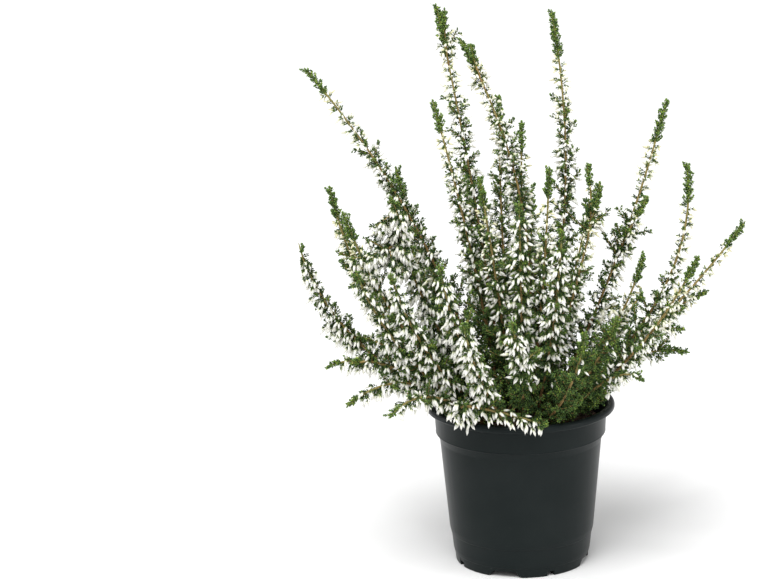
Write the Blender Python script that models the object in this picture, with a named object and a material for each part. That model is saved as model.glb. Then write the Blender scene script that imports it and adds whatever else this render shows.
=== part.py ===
"""Potted white bud heather: a stepped nursery pot, its peat and the leafy flowering stems.

The plant stands in a round pot of 120 mm. The pot rests on z = 0 with its axis on Z.
The front of the plant faces -Y. All tables are in millimetres and become metres in the meshes.
"""

import math
import random

import bmesh
import bpy
import numpy as np
from mathutils import Vector

MM = 0.001
GAP = 0.35
TURN = 2.0 * math.pi
GOLDEN_ANGLE = math.radians(137.5)

# Pot
POT_SIDES = 32
POT_HEIGHT = 104.5
RIM_RADIUS = 60.0
RIM_INNER_RADIUS = 55.6
LIP_UNDERSIDE = 100.2
COLLAR_RADIUS = 54.8
COLLAR_FOOT = 85.3
WALL = 1.4
INNER_STEP_RADIUS = 43.6
INNER_FLOOR_RADIUS = 41.2
BASE_RADIUS = 42.3
PAD_RADIUS = 24.0
CHANNEL_HEIGHT = 4.3
FLOOR_HEIGHT = 5.8
RING_CUTS = 4
SCALLOP_ANGLE = -18.0
SCALLOP_HALF_ANGLES = (15.0, 9.5)
SCALLOP_HEIGHT = 4.0
SLOT_ANGLE = 23.0
SLOT_HALF_ANGLES = (3.6, 3.0)
SLOT_HEIGHT = 3.1
CUT_RADII = (34.9, 47.0)
DRAIN_HOLES = 4
DRAIN_RING = 30.0
DRAIN_RADIUS = 2.6

# Peat
SOIL_TOP = 90.5
SOIL_CROWN = 1.5
SOIL_EDGE_RADIUS = 50.9
SOIL_MARGIN = 0.8
STEM_DEPTH = 11.0
STEM_RISE = 1.9

# Stems
STEM_SIDES = 5
FORK_SIDES = 4
STEM_RINGS = 6
STEM_RADIUS = 1.1
TWIG_RADIUS = 0.8
FORK_RADIUS = 0.75
SHOOT_RADIUS = 1.2
LEAFY_TIP = 22.0
FOOT_RADIUS = 0.42
CLEARANCE = 0.4
SEED = 41

# Distance between two stems near the ground, how much it grows above, and over what height
CLOSE_SPACING = 4.2
EXTRA_SPACING = 4.3
SPACING_RISE = 60.0

# Small pieces along the stems: length, widest radius, place of the widest part, distance to the next
SHAPES = {
    "bud": (7.2, 0.95, 0.6, 12.8),
    "shoot": (6.0, 1.1, 0.5, 7.5),
    "twig": (16.0, 1.15, 0.4, 18.5),
}
ATTEMPTS = 7
FULL_SIZE_ATTEMPTS = 5
SHORT_SCALE = 0.7
STEM_CORE = 1.6

# Share of a stem where its flowers begin, and the bare length over its root
FLOWERS_FROM = {"tall": 0.42, "low": 0.30, "leafy": 2.0}
BARE_LENGTH = {"tall": 20.0, "low": 20.0, "leafy": 14.0}
FORK_BARE_LENGTH = 9.0

# Each stem: name, habit, root (x, y), middle (x, y, z), tip (x, y, z), forks.
# A fork is the share of the stem where it leaves and the way from there to its own tip.
# Habits: tall stems flower in their upper half, low ones hang and flower closely, leafy ones have no buds.
STEMS = (
    ("stem_tall_left", "tall", (-9, 3), (-25, 8, 222), (-49, 15, 358), ((0.86, (-2, 4, 36)),)),
    ("stem_tall_left_rear", "tall", (-2, 10), (5, 28, 214), (-34, 50, 330), ((0.86, (-9, -3, 30)),)),
    ("stem_left_centre", "tall", (-11, -6), (-29, -17, 200), (-53, -28, 306), ()),
    ("stem_high_left", "tall", (-19, 6), (-62, 11, 212), (-132, 22, 318), ()),
    ("stem_tall_right", "tall", (5, 2), (29, 2, 225), (22, 6, 354), ()),
    ("stem_right", "tall", (16, -4), (60, -9, 196), (92, -12, 300), ((0.50, (20, -8, 44)),)),
    ("stem_right_front", "tall", (19, -10), (86, -37, 182), (100, -52, 268), ()),
    ("stem_far_right", "tall", (21, 1), (88, 4, 152), (144, 8, 217), ((0.50, (34, 12, 18)),)),
    ("stem_low_right_front", "tall", (19, -15), (70, -38, 144), (106, -70, 214), ()),
    ("stem_right_rear", "tall", (14, 8), (58, 36, 134), (84, 55, 186), ()),
    ("stem_curl_right", "leafy", (24, 7), (68, 18, 124), (111, 26, 126), ()),
    ("stem_right_centre", "tall", (10, -4), (33, -24, 180), (49, -35, 254), ((0.74, (0, 8, 46)),)),
    ("stem_front_centre", "tall", (5, -11), (13, -33, 185), (17, -50, 267), ()),
    ("stem_rear_centre", "tall", (-3, 16), (-8, 48, 200), (-8, 72, 289), ()),
    ("stem_centre", "tall", (4, 10), (4, 28, 200), (5, 42, 278), ()),
    ("stem_front_left_centre", "tall", (-4, -10), (-14, -36, 180), (-26, -55, 263), ()),
    ("stem_front_spike", "low", (0, -17), (-1, -52, 168), (-3, -76, 252), ()),
    ("stem_front_right_spike", "low", (7, -18), (17, -60, 162), (22, -90, 237), ()),
    ("stem_left", "tall", (-22, -5), (-86, -20, 168), (-117, -35, 255), ((0.50, (-26, 2, 36)),)),
    ("stem_left_front", "tall", (-20, -11), (-74, -40, 165), (-109, -62, 245), ()),
    ("stem_far_left", "low", (-26, 1), (-102, 2, 145), (-138, -2, 212), ((0.46, (-26, 10, 14)),)),
    ("stem_cluster_left", "low", (-15, -9), (-60, -36, 180), (-78, -58, 250), ((0.72, (-27, -15, 0)),)),
    ("stem_left_rear", "tall", (-13, 8), (-52, 22, 175), (-76, 32, 252), ()),
    ("stem_front_left", "low", (-13, -18), (-56, -62, 150), (-81, -100, 215), ()),
    ("stem_front_far_left", "low", (-20, -17), (-72, -52, 150), (-102, -80, 212), ()),
    ("stem_front_left_spike", "low", (-8, -22), (-36, -66, 155), (-52, -101, 220), ((0.46, (2, -20, 38)),)),
    ("stem_front_low_left", "low", (-6, -28), (-26, -82, 138), (-39, -124, 190), ()),
    ("stem_front_low", "low", (1, -26), (-3, -78, 145), (-10, -116, 188), ((0.50, (12, -24, 22)),)),
    ("stem_front_low_right", "leafy", (13, -22), (42, -54, 140), (55, -84, 181), ()),
    ("stem_front_right", "leafy", (8, -28), (26, -64, 128), (36, -90, 174), ()),
    ("stem_droop_left", "low", (-29, -6), (-80, -20, 134), (-122, -30, 138), ((0.60, (-18, -14, 4)),)),
    ("stem_droop_front_left", "low", (-26, -14), (-70, -44, 130), (-110, -64, 121), ()),
    ("stem_droop_front", "low", (-20, -24), (-56, -62, 126), (-84, -92, 122), ()),
    ("stem_droop_left_rear", "low", (-29, 7), (-82, 24, 134), (-120, 34, 138), ()),
    ("stem_over_rim", "low", (-14, -27), (-38, -66, 121), (14, -74, 110), ()),
    ("stem_low_right", "low", (22, -20), (54, -44, 130), (74, -54, 130), ()),
    ("stem_tuft_front", "leafy", (15, -29), (28, -46, 112), (36, -60, 122), ()),
    ("stem_tuft_right", "leafy", (29, -11), (42, -24, 110), (54, -34, 122), ()),
    ("stem_rear", "tall", (-7, 22), (-22, 62, 165), (-30, 96, 240), ((0.50, (-14, 14, 40)),)),
    ("stem_rear_right", "tall", (3, 22), (10, 66, 155), (14, 105, 222), ()),
    ("stem_rear_left", "tall", (-16, 17), (-54, 52, 160), (-80, 80, 232), ()),
    ("stem_rear_far_left", "low", (-23, 12), (-80, 38, 152), (-116, 60, 218), ()),
    ("stem_rear_right_high", "tall", (11, 17), (34, 52, 156), (50, 76, 214), ()),
    ("stem_rear_far_right", "low", (18, 14), (58, 52, 128), (86, 84, 152), ()),
    ("stem_rear_low_right", "low", (26, 12), (72, 40, 130), (112, 66, 130), ()),
    ("stem_rear_droop", "low", (11, 27), (30, 80, 130), (48, 118, 152), ((0.50, (-8, 22, 16)),)),
    ("stem_rear_droop_left", "low", (-23, 18), (-70, 58, 140), (-108, 92, 160), ()),
    ("stem_rear_low", "low", (0, 28), (-4, 82, 136), (-6, 128, 160), ()),
)


def clear_scene():
    """Remove every object of the file."""
    for item in list(bpy.data.objects):
        bpy.data.objects.remove(item, do_unlink=True)


def material(name, colour, roughness, metallic=0.0):
    """A Principled material."""
    mat = bpy.data.materials.new(name)
    mat.use_nodes = True
    shader = mat.node_tree.nodes["Principled BSDF"]
    shader.inputs["Base Color"].default_value = (*colour, 1.0)
    shader.inputs["Roughness"].default_value = roughness
    shader.inputs["Metallic"].default_value = metallic
    return mat


def pot_plastic():
    """Dark grey-green moulded plastic."""
    return material("pot_plastic", (0.027, 0.033, 0.033), 0.42)


def peat():
    """Dark brown peat."""
    return material("peat", (0.055, 0.032, 0.020), 0.95)


def heather_green():
    """Deep green of the small leaves."""
    return material("heather_green", (0.085, 0.16, 0.045), 0.7)


def new_object(name, mesh, mat=None):
    """Link a mesh to the scene as a named object."""
    item = bpy.data.objects.new(name, mesh)
    if mat is not None:
        mesh.materials.append(mat)
    bpy.context.scene.collection.objects.link(item)
    return item


def mesh_of(bm, name):
    """Turn a bmesh into a mesh with its faces pointing out."""
    bmesh.ops.recalc_face_normals(bm, faces=bm.faces)
    mesh = bpy.data.meshes.new(name)
    bm.to_mesh(mesh)
    bm.free()
    return mesh


def lathe(profile, sides, height_at=None):
    """Turn a profile of (radius, z) round Z. Its ends lie on the axis."""
    bm = bmesh.new()
    rings = []
    for radius, z in profile:
        if radius == 0.0:
            rings.append([bm.verts.new((0.0, 0.0, z * MM))])
            continue
        ring = []
        for step in range(sides):
            angle = TURN * step / sides
            lift = height_at(radius, angle) if height_at and z > SOIL_TOP - 5.0 else 0.0
            x = radius * math.cos(angle) * MM
            y = radius * math.sin(angle) * MM
            ring.append(bm.verts.new((x, y, (z + lift) * MM)))
        rings.append(ring)
    for low, high in zip(rings, rings[1:]):
        for step in range(sides):
            after = (step + 1) % sides
            if len(low) == 1:
                bm.faces.new((low[0], high[step], high[after]))
            elif len(high) == 1:
                bm.faces.new((low[step], high[0], low[after]))
            else:
                bm.faces.new((low[step], high[step], high[after], low[after]))
    return bm


def smooth(mesh, angle=40.0):
    """Shade smooth with sharp edges past an angle."""
    mesh.shade_smooth()
    mesh.set_sharp_from_angle(angle=math.radians(angle))


def is_closed(mesh):
    """True where every edge joins two faces."""
    bm = bmesh.new()
    bm.from_mesh(mesh)
    closed = all(len(edge.link_faces) == 2 for edge in bm.edges)
    bm.free()
    return closed


def apply_boolean(item, operation, cutters):
    """Run one Boolean on a collection, keep its result and remove the cutters."""
    group = bpy.data.collections.new(item.name + "_tools")
    bpy.context.scene.collection.children.link(group)
    for cutter in cutters:
        bpy.context.scene.collection.objects.unlink(cutter)
        group.objects.link(cutter)
        cutter.hide_render = True
        cutter.display_type = "WIRE"
    modifier = item.modifiers.new("join", "BOOLEAN")
    modifier.operation = operation
    modifier.operand_type = "COLLECTION"
    modifier.collection = group
    for solver in ("EXACT", "MANIFOLD"):
        modifier.solver = solver
        graph = bpy.context.evaluated_depsgraph_get()
        result = bpy.data.meshes.new_from_object(item.evaluated_get(graph))
        if is_closed(result):
            break
    result.name = item.name
    item.modifiers.clear()
    item.data = result
    for cutter in cutters:
        bpy.data.objects.remove(cutter, do_unlink=True)
    bpy.data.collections.remove(group)


# Pot


def pot_profile():
    """Outside from the middle of the base up to the lip, then down the inside."""
    outside = [
        (0.0, 0.0),
        (PAD_RADIUS, 0.0),
        (PAD_RADIUS + 1.5, CHANNEL_HEIGHT),
        (34.5, CHANNEL_HEIGHT),
        (36.0, 0.0),
        (BASE_RADIUS, 0.0),
        (42.9, 6.0),
        (43.8, 8.6),
        (44.9, 19.3),
        (46.0, 22.4),
        (51.4, 80.6),
        (53.9, COLLAR_FOOT),
        (COLLAR_RADIUS, LIP_UNDERSIDE),
        (RIM_RADIUS - 0.6, LIP_UNDERSIDE),
        (RIM_RADIUS, LIP_UNDERSIDE + 2.2),
        (RIM_RADIUS - 0.8, POT_HEIGHT),
        (RIM_INNER_RADIUS, POT_HEIGHT),
    ]
    inside = [
        (COLLAR_RADIUS - WALL, LIP_UNDERSIDE + 0.6),
        (51.4 - WALL, 80.9),
        (INNER_STEP_RADIUS, 22.6),
        (INNER_FLOOR_RADIUS, FLOOR_HEIGHT),
        (PAD_RADIUS + 0.5, FLOOR_HEIGHT),
        (PAD_RADIUS - 1.0, 1.5),
        (0.0, 1.5),
    ]
    return outside + inside


def polar(radius, degrees, z):
    """A point by its angle from the front, positive towards +X."""
    angle = math.radians(degrees) - math.pi / 2.0
    return Vector((radius * math.cos(angle) * MM, radius * math.sin(angle) * MM, z * MM))


def wedge(name, middle, half_angles, top):
    """A cutter through the base ring, narrower at its top than at its foot."""
    bm = bmesh.new()
    corners = {}
    for level, (half, z) in enumerate(zip(half_angles, (-1.0, top))):
        for side in (-1, 1):
            for end, radius in enumerate(CUT_RADII):
                point = polar(radius, middle + side * half, z)
                corners[level, side, end] = bm.verts.new(point)
    for level in (0, 1):
        loop = [corners[level, -1, 0], corners[level, 1, 0], corners[level, 1, 1], corners[level, -1, 1]]
        bm.faces.new(loop)
    walk = [(-1, 0), (1, 0), (1, 1), (-1, 1)]
    for here, there in zip(walk, walk[1:] + walk[:1]):
        bm.faces.new((corners[(0, *here)], corners[(0, *there)], corners[(1, *there)], corners[(1, *here)]))
    return new_object(name, mesh_of(bm, name))


def drain(name, degrees):
    """A six-sided cutter for one drain hole."""
    bm = bmesh.new()
    bmesh.ops.create_cone(
        bm, cap_ends=True, segments=6, radius1=DRAIN_RADIUS * MM, radius2=DRAIN_RADIUS * MM, depth=6.0 * MM
    )
    bmesh.ops.translate(bm, verts=bm.verts, vec=polar(DRAIN_RING, degrees, CHANNEL_HEIGHT))
    return new_object(name, mesh_of(bm, name))


def build_pot():
    """The pot with its scalloped foot ring, its slots and its drain holes."""
    pot = new_object("pot", mesh_of(lathe(pot_profile(), POT_SIDES), "pot"), pot_plastic())
    cutters = []
    for step in range(RING_CUTS):
        turn = 360.0 / RING_CUTS * step
        cutters.append(wedge(f"scallop_{step}", SCALLOP_ANGLE + turn, SCALLOP_HALF_ANGLES, SCALLOP_HEIGHT))
        cutters.append(wedge(f"slot_{step}", SLOT_ANGLE + turn, SLOT_HALF_ANGLES, SLOT_HEIGHT))
    for step in range(DRAIN_HOLES):
        cutters.append(drain(f"drain_{step}", 360.0 / DRAIN_HOLES * (step + 0.5)))
    apply_boolean(pot, "DIFFERENCE", cutters)
    smooth(pot.data, 30.0)
    return pot


# Peat


def soil_bump(radius, angle):
    """Height of the peat over its mean level."""
    wave = 1.1 * math.sin(3.0 * angle + radius / 9.0) + 0.8 * math.cos(5.0 * angle - radius / 6.0)
    return wave * min(1.0, radius / 12.0) * (1.0 if radius < 48.0 else 0.4)


def soil_height(x, y):
    """Level of the peat at a point."""
    radius = math.hypot(x, y)
    crown = SOIL_CROWN * (1.0 - (radius / SOIL_EDGE_RADIUS) ** 2)
    return SOIL_TOP + crown + soil_bump(radius, math.atan2(y, x))


def soil_profile():
    """Follows the inside of the pot with a gap, then crosses its top."""
    return [
        (0.0, 1.5 + GAP),
        (PAD_RADIUS - 1.6, 1.5 + GAP),
        (PAD_RADIUS - 0.1, FLOOR_HEIGHT + GAP),
        (INNER_FLOOR_RADIUS - 0.4, FLOOR_HEIGHT + GAP),
        (INNER_STEP_RADIUS - 0.4, 22.6),
        (51.4 - WALL - 0.4, 80.9),
        (SOIL_EDGE_RADIUS, SOIL_TOP - 1.0),
        (36.0, SOIL_TOP + 0.8),
        (18.0, SOIL_TOP + 1.3),
        (0.0, SOIL_TOP + SOIL_CROWN),
    ]


def build_soil(stems):
    """The peat, with a plain hole for each stem."""
    bm = lathe(soil_profile(), POT_SIDES, soil_bump)
    soil = new_object("soil", mesh_of(bm, "soil"), peat())
    holes = []
    for stem in stems:
        low = stem.path[0] - np.array((0.0, 0.0, STEM_RADIUS + 0.5))
        high = stem.root + np.array((0.0, 0.0, 6.0))
        radius = (STEM_RADIUS + GAP) / math.cos(math.pi / STEM_SIDES)
        holes.append(prism(stem.name + "_hole", low, high, radius, STEM_SIDES))
    apply_boolean(soil, "DIFFERENCE", holes)
    smooth(soil.data, 50.0)
    return soil


# Stems


def frame_of(way):
    """Two directions square to a third one."""
    helper = np.array((0.0, 0.0, 1.0)) if abs(way[2]) < 0.9 else np.array((1.0, 0.0, 0.0))
    side = np.cross(way, helper)
    side /= np.linalg.norm(side)
    return side, np.cross(way, side)


def unit(vector):
    """A vector of length one."""
    return vector / np.linalg.norm(vector)


def ring_points(centre, way, radius, sides):
    """Points round a centre, square to a direction."""
    side, other = frame_of(way)
    points = []
    for step in range(sides):
        angle = TURN * step / sides
        points.append(centre + radius * (math.cos(angle) * side + math.sin(angle) * other))
    return points


def skin(bm, rings, tip=None):
    """Faces round a row of rings, closed at the foot, and at the end by a cap or a point."""
    rows = [[bm.verts.new(Vector(p) * MM) for p in ring] for ring in rings]
    sides = len(rows[0])
    for low, high in zip(rows, rows[1:]):
        for step in range(sides):
            after = (step + 1) % sides
            bm.faces.new((low[step], low[after], high[after], high[step]))
    bm.faces.new(rows[0][::-1])
    if tip is None:
        bm.faces.new(rows[-1])
        return
    point = bm.verts.new(Vector(tip) * MM)
    for step in range(sides):
        bm.faces.new((rows[-1][step], rows[-1][(step + 1) % sides], point))


def prism(name, low, high, radius, sides):
    """A straight bar between two points."""
    way = unit(high - low)
    bm = bmesh.new()
    skin(bm, [ring_points(low, way, radius, sides), ring_points(high, way, radius, sides)])
    return new_object(name, mesh_of(bm, name))


def quadratic(start, control, end, shares):
    """Points on a curve with one control point."""
    t = np.asarray(shares)[:, None]
    return (1 - t) ** 2 * start + 2 * t * (1 - t) * control + t**2 * end


class Stem:
    """One stem of the table, with its curve and its forks."""

    def __init__(self, row):
        self.name, self.habit, root, middle, tip, self.fork_rows = row
        self.root = np.array((root[0], root[1], soil_height(*root) + STEM_RISE), float)
        self.tip = np.array(tip, float)
        self.control = 2.0 * np.array(middle, float) - 0.5 * (self.root + self.tip)

    def curve(self, shares):
        """Points of the stem over the ground."""
        return quadratic(self.root, self.control, self.tip, shares)

    def settle(self):
        """Fix the root over the peat and lay out the final paths. The foot stands upright in the peat."""
        self.root[2] = soil_height(self.root[0], self.root[1]) + STEM_RISE
        self.path = [self.root - np.array((0.0, 0.0, STEM_DEPTH))]
        self.path += list(self.curve(np.linspace(0.0, 1.0, STEM_RINGS)))
        self.forks = []
        for share, way in self.fork_rows:
            here = self.curve([share])[0]
            ahead = unit(self.curve([share + 0.02])[0] - here)
            end = here + np.array(way, float)
            reach = np.linalg.norm(way)
            bend = here + ahead * reach * 0.45
            self.forks.append(quadratic(here, bend, end, np.linspace(0.0, 1.0, 5)))


def spacing_wanted(height):
    """How far apart two stems stay, less near the ground."""
    rise = min(1.0, max(0.0, (height - SOIL_TOP - 6.0) / SPACING_RISE))
    return CLOSE_SPACING + EXTRA_SPACING * rise


def bend_clear(stems, rounds=60):
    """Push stems apart where they pass too close, by moving the points that shape their curves."""
    shares = np.linspace(0.0, 1.0, 40)
    weights = np.stack([(1 - shares) ** 2, 2 * shares * (1 - shares), shares**2], 1)
    for _ in range(rounds):
        curves = [stem.curve(shares) for stem in stems]
        wanted = [np.array([spacing_wanted(p[2]) for p in curve]) for curve in curves]
        pushes = [np.zeros((3, 3)) for _ in stems]
        for i, first in enumerate(curves):
            for j in range(i + 1, len(curves)):
                second = curves[j]
                apart = first[:, None, :] - second[None, :, :]
                span = np.linalg.norm(apart, axis=2) + 1e-9
                need = 0.5 * (wanted[i][:, None] + wanted[j][None, :])
                short = np.clip(need - span, 0.0, None)
                if short.max() <= 0.0:
                    continue
                a, b = np.unravel_index(np.argmax(short), short.shape)
                shove = apart[a, b] / span[a, b] * short[a, b] * 0.5
                pushes[i] += weights[a][:, None] * shove
                pushes[j] -= weights[b][:, None] * shove
        for stem, push in zip(stems, pushes):
            push = np.clip(push, -1.5, 1.5)
            stem.root[:2] += push[0][:2] * 0.6
            stem.control += push[1]
            stem.tip += push[2] * 0.5


class Space:
    """All round bars placed so far, to keep the pieces of different stems apart."""

    def __init__(self):
        self.starts = []
        self.ends = []
        self.radii = []
        self.owners = []

    def add(self, start, end, radius, owner):
        """Note one bar."""
        self.starts.append(start)
        self.ends.append(end)
        self.radii.append(radius)
        self.owners.append(owner)

    def freeze(self):
        """Lists as arrays."""
        return (
            np.array(self.starts),
            np.array(self.ends),
            np.array(self.radii),
            np.array(self.owners),
        )

    def room(self, start, end, radius, owner):
        """Smallest gap between a bar and the bars of other owners."""
        starts, ends, radii, owners = self.freeze()
        other = owners != owner
        if not other.any():
            return 99.0
        gaps = bar_distance(start, end, starts[other], ends[other]) - radii[other] - radius
        return float(gaps.min())


def bar_distance(p, q, starts, ends):
    """Distance from the segment p-q to many segments."""
    u = q - p
    v = ends - starts
    w = p - starts
    a = u @ u
    b = v @ u
    c = np.einsum("ij,ij->i", v, v)
    d = w @ u
    e = np.einsum("ij,ij->i", v, w)
    det = a * c - b * b
    s = np.where(det > 1e-9, np.clip((b * e - c * d) / np.where(det > 1e-9, det, 1.0), 0.0, 1.0), 0.0)
    t = np.clip((b * s + e) / c, 0.0, 1.0)
    s = np.clip((b * t - d) / a, 0.0, 1.0)
    gap = w + s[:, None] * u - t[:, None] * v
    return np.linalg.norm(gap, axis=1)


def clear_of_pot(start, end, radius):
    """True where a bar stays off the pot and the peat."""
    for share in np.linspace(0.0, 1.0, 7):
        x, y, z = start + (end - start) * share
        out = math.hypot(x, y)
        edge = RIM_RADIUS if z > LIP_UNDERSIDE - 2.0 else COLLAR_RADIUS
        margin = radius + CLEARANCE
        if z < POT_HEIGHT + margin and RIM_INNER_RADIUS - 2.4 - margin < out < edge + margin:
            return False
        if out <= RIM_INNER_RADIUS and z < soil_height(x, y) + margin + SOIL_MARGIN:
            return False
    return True


def stem_radius(share, length):
    """Radius of a stem: woody at its foot, thin in the middle, thicker in the leafy tip."""
    if (1.0 - share) * length < LEAFY_TIP:
        return SHOOT_RADIUS
    return STEM_RADIUS + (TWIG_RADIUS - STEM_RADIUS) * share


def path_length(points):
    """Length along a row of points."""
    return float(sum(np.linalg.norm(b - a) for a, b in zip(points, points[1:])))


def tube_rings(points, radii, sides):
    """Rings along a row of points, all turned alike, so that the sides between them stay flat."""
    way = unit(points[-1] - points[0])
    return [ring_points(point, way, radius, sides) for point, radius in zip(points, radii)]


def stem_mesh(stem):
    """The bare stem from its foot in the peat to its pointed tip."""
    length = path_length(stem.path[1:])
    points = [stem.path[0], stem.path[1]]
    radii = [STEM_RADIUS, STEM_RADIUS]
    shares = list(np.linspace(0.0, 1.0, STEM_RINGS))[1:-1]
    tip_share = 1.0 - LEAFY_TIP / length
    shares = [share for share in shares if share < tip_share - 0.03]
    shares += [tip_share, 1.0 - 4.0 / length]
    for share in shares:
        points.append(stem.curve([share])[0])
        radii.append(stem_radius(share + 0.001, length))
    bm = bmesh.new()
    skin(bm, tube_rings(points, radii, STEM_SIDES), stem.tip)
    return bm


def fork_mesh(points):
    """A fork, from inside its stem to its pointed tip."""
    radii = [0.55, FORK_RADIUS, 1.0, SHOOT_RADIUS]
    bm = bmesh.new()
    skin(bm, tube_rings(list(points[:4]), radii, FORK_SIDES), points[4])
    return bm


def spindle(name, start, way, length, widest, middle):
    """A three-sided bud, leaf shoot or twig: a thin foot, a waist and a point."""
    bm = bmesh.new()
    waist = start + way * length * middle
    rings = [ring_points(start, way, FOOT_RADIUS, 3), ring_points(waist, way, widest, 3)]
    skin(bm, rings, start + way * length)
    return new_object(name, mesh_of(bm, name))


def repeat_kind(habit, share, rest):
    """What grows at a place: a twig low down, a bud in the flowering part, a leaf shoot near the tip."""
    if rest < LEAFY_TIP + 2.0:
        return "shoot"
    if share > FLOWERS_FROM[habit]:
        return "bud"
    return "twig"


def through_a_side(way, ahead, sides):
    """Turn a direction round the stem so that it leaves through the middle of one of its sides."""
    side, other = frame_of(ahead)
    along = way @ ahead
    angle = math.atan2(way @ other, way @ side)
    step = TURN / sides
    angle = (math.floor(angle / step) + 0.5) * step
    out = math.cos(angle) * side + math.sin(angle) * other
    return along * ahead + math.sqrt(max(0.0, 1.0 - along * along)) * out


def repeat_way(kind, chord, ahead, angle, sides, rng):
    """Direction of a repeat: shoots and twigs lean along the stem, buds stand out and hang a little."""
    side, other = frame_of(ahead)
    out = math.cos(angle) * side + math.sin(angle) * other
    if kind == "bud":
        hang = np.array((0.0, 0.0, rng.uniform(-0.7, -0.1)))
        way = out + ahead * rng.uniform(0.0, 0.35) + hang
    elif kind == "shoot":
        way = out * 0.75 + ahead
    else:
        way = out + ahead
    return through_a_side(unit(way), chord, sides)


def place_repeats(stem, owner, curve, length, first, sides, space, rng):
    """Walk along a curve and place repeats where there is room for them."""
    placed = []
    chord = unit(curve([1.0])[0] - curve([0.0])[0])
    along = first
    angle = rng.uniform(0.0, TURN)
    while along < length - 2.5:
        share = along / length
        kind = repeat_kind(stem.habit, share, length - along)
        size, widest, middle, step = SHAPES[kind]
        here = curve([share])[0]
        ahead = unit(curve([min(1.0, share + 0.01)])[0] - curve([share - 0.01])[0])
        scale = rng.uniform(0.85, 1.1)
        for attempt in range(ATTEMPTS):
            reach = size * scale * (1.0 if attempt < FULL_SIZE_ATTEMPTS else SHORT_SCALE)
            way = repeat_way(kind, chord, ahead, angle + attempt * TURN / sides, sides, rng)
            end = here + way * reach
            outer = here + way * STEM_CORE
            fits = clear_of_pot(outer, end, widest)
            if fits and space.room(outer, end, widest, owner) > CLEARANCE:
                placed.append((here, way, reach, widest, middle))
                space.add(outer, end, widest, owner)
                break
        angle += GOLDEN_ANGLE
        along += step * rng.uniform(0.9, 1.1)
    return placed


def reserve(stems, space):
    """Note the bare stems and forks before any repeat is placed."""
    shares = np.linspace(0.0, 1.0, 25)
    for owner, stem in enumerate(stems):
        points = stem.curve(shares)
        length = path_length(points)
        space.add(stem.path[0], points[0], STEM_RADIUS, owner)
        for index in range(len(points) - 1):
            space.add(points[index], points[index + 1], stem_radius(shares[index + 1], length), owner)


def keep_forks(stems, space):
    """Keep the forks that stay clear of other stems, turning the others round their stem first."""
    for owner, stem in enumerate(stems):
        kept = []
        for fork in stem.forks:
            for turn in (0.0, 0.5, -0.5, 1.0, -1.0, 1.6, -1.6, 2.4, -2.4, math.pi):
                points = turned(fork, turn)
                if fork_fits(points, owner, space):
                    kept.append(points)
                    for a, b in zip(points, points[1:]):
                        space.add(a, b, SHOOT_RADIUS, owner)
                    break
        stem.forks = kept


def turned(points, angle):
    """A fork turned round the vertical through its start."""
    cos, sin = math.cos(angle), math.sin(angle)
    spin = np.array(((cos, -sin, 0.0), (sin, cos, 0.0), (0.0, 0.0, 1.0)))
    return points[0] + (points - points[0]) @ spin.T


def fork_fits(points, owner, space):
    """True where a fork has room for itself and some of its repeats."""
    for a, b in zip(points[1:], points[2:]):
        if space.room(a, b, SHOOT_RADIUS + STEM_CORE, owner) < CLEARANCE:
            return False
        if not clear_of_pot(a, b, SHOOT_RADIUS + STEM_CORE):
            return False
    first = points[0] + (points[1] - points[0]) * 0.3
    return space.room(first, points[1], SHOOT_RADIUS, owner) > CLEARANCE


def fork_curve(points):
    """A function that walks along a fork."""
    spread = np.linspace(0.0, 1.0, len(points))

    def curve(shares):
        return np.stack([np.interp(shares, spread, points[:, axis]) for axis in range(3)], 1)

    return curve


def plan_repeats(stems, space):
    """The repeats of every stem, tips first."""
    rng = random.Random(SEED)
    plans = []
    for owner, stem in enumerate(stems):
        length = path_length(stem.curve(np.linspace(0.0, 1.0, 25)))
        bare = BARE_LENGTH[stem.habit]
        plan = place_repeats(stem, owner, stem.curve, length, bare, STEM_SIDES, space, rng)
        for fork in stem.forks:
            reach = path_length(fork)
            plan += place_repeats(
                stem, owner, fork_curve(fork), reach, FORK_BARE_LENGTH, FORK_SIDES, space, rng
            )
        plans.append(plan)
    return plans


def largest_body(item):
    """Drop loose scraps that a union may leave."""
    bm = bmesh.new()
    bm.from_mesh(item.data)
    unseen = set(bm.verts)
    bodies = []
    while unseen:
        body = {unseen.pop()}
        front = list(body)
        while front:
            for edge in front.pop().link_edges:
                for vert in edge.verts:
                    if vert in unseen:
                        unseen.discard(vert)
                        body.add(vert)
                        front.append(vert)
        bodies.append(body)
    bodies.sort(key=len)
    for body in bodies[:-1]:
        bmesh.ops.delete(bm, geom=list(body), context="VERTS")
    bm.to_mesh(item.data)
    bm.free()


def build_stem(stem, plan, mat):
    """One stem with its forks, buds, leaf shoots and twigs in one body."""
    item = new_object(stem.name, mesh_of(stem_mesh(stem), stem.name), mat)
    pieces = []
    for index, fork in enumerate(stem.forks):
        pieces.append(new_object(f"{stem.name}_fork_{index}", mesh_of(fork_mesh(fork), "fork")))
    for index, repeat in enumerate(plan):
        pieces.append(spindle(f"{stem.name}_repeat_{index}", *repeat))
    apply_boolean(item, "UNION", pieces)
    largest_body(item)
    smooth(item.data, 35.0)
    return item


def build_stems(stems):
    """All stems of the plant."""
    space = Space()
    reserve(stems, space)
    keep_forks(stems, space)
    plans = plan_repeats(stems, space)
    mat = heather_green()
    return [build_stem(stem, plan, mat) for stem, plan in zip(stems, plans)]


def main():
    """Build the pot, the peat and the plant under one empty."""
    clear_scene()
    stems = [Stem(row) for row in STEMS]
    bend_clear(stems)
    for stem in stems:
        stem.settle()
    holder = bpy.data.objects.new("potted_heather", None)
    bpy.context.scene.collection.objects.link(holder)
    pieces = [build_pot(), build_soil(stems)]
    pieces += build_stems(stems)
    for piece in pieces:
        piece.parent = holder


main()
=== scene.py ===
import math
import random
from typing import NamedTuple

import bmesh
import bpy
import numpy as np
from mathutils import Euler, Matrix, Vector


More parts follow.
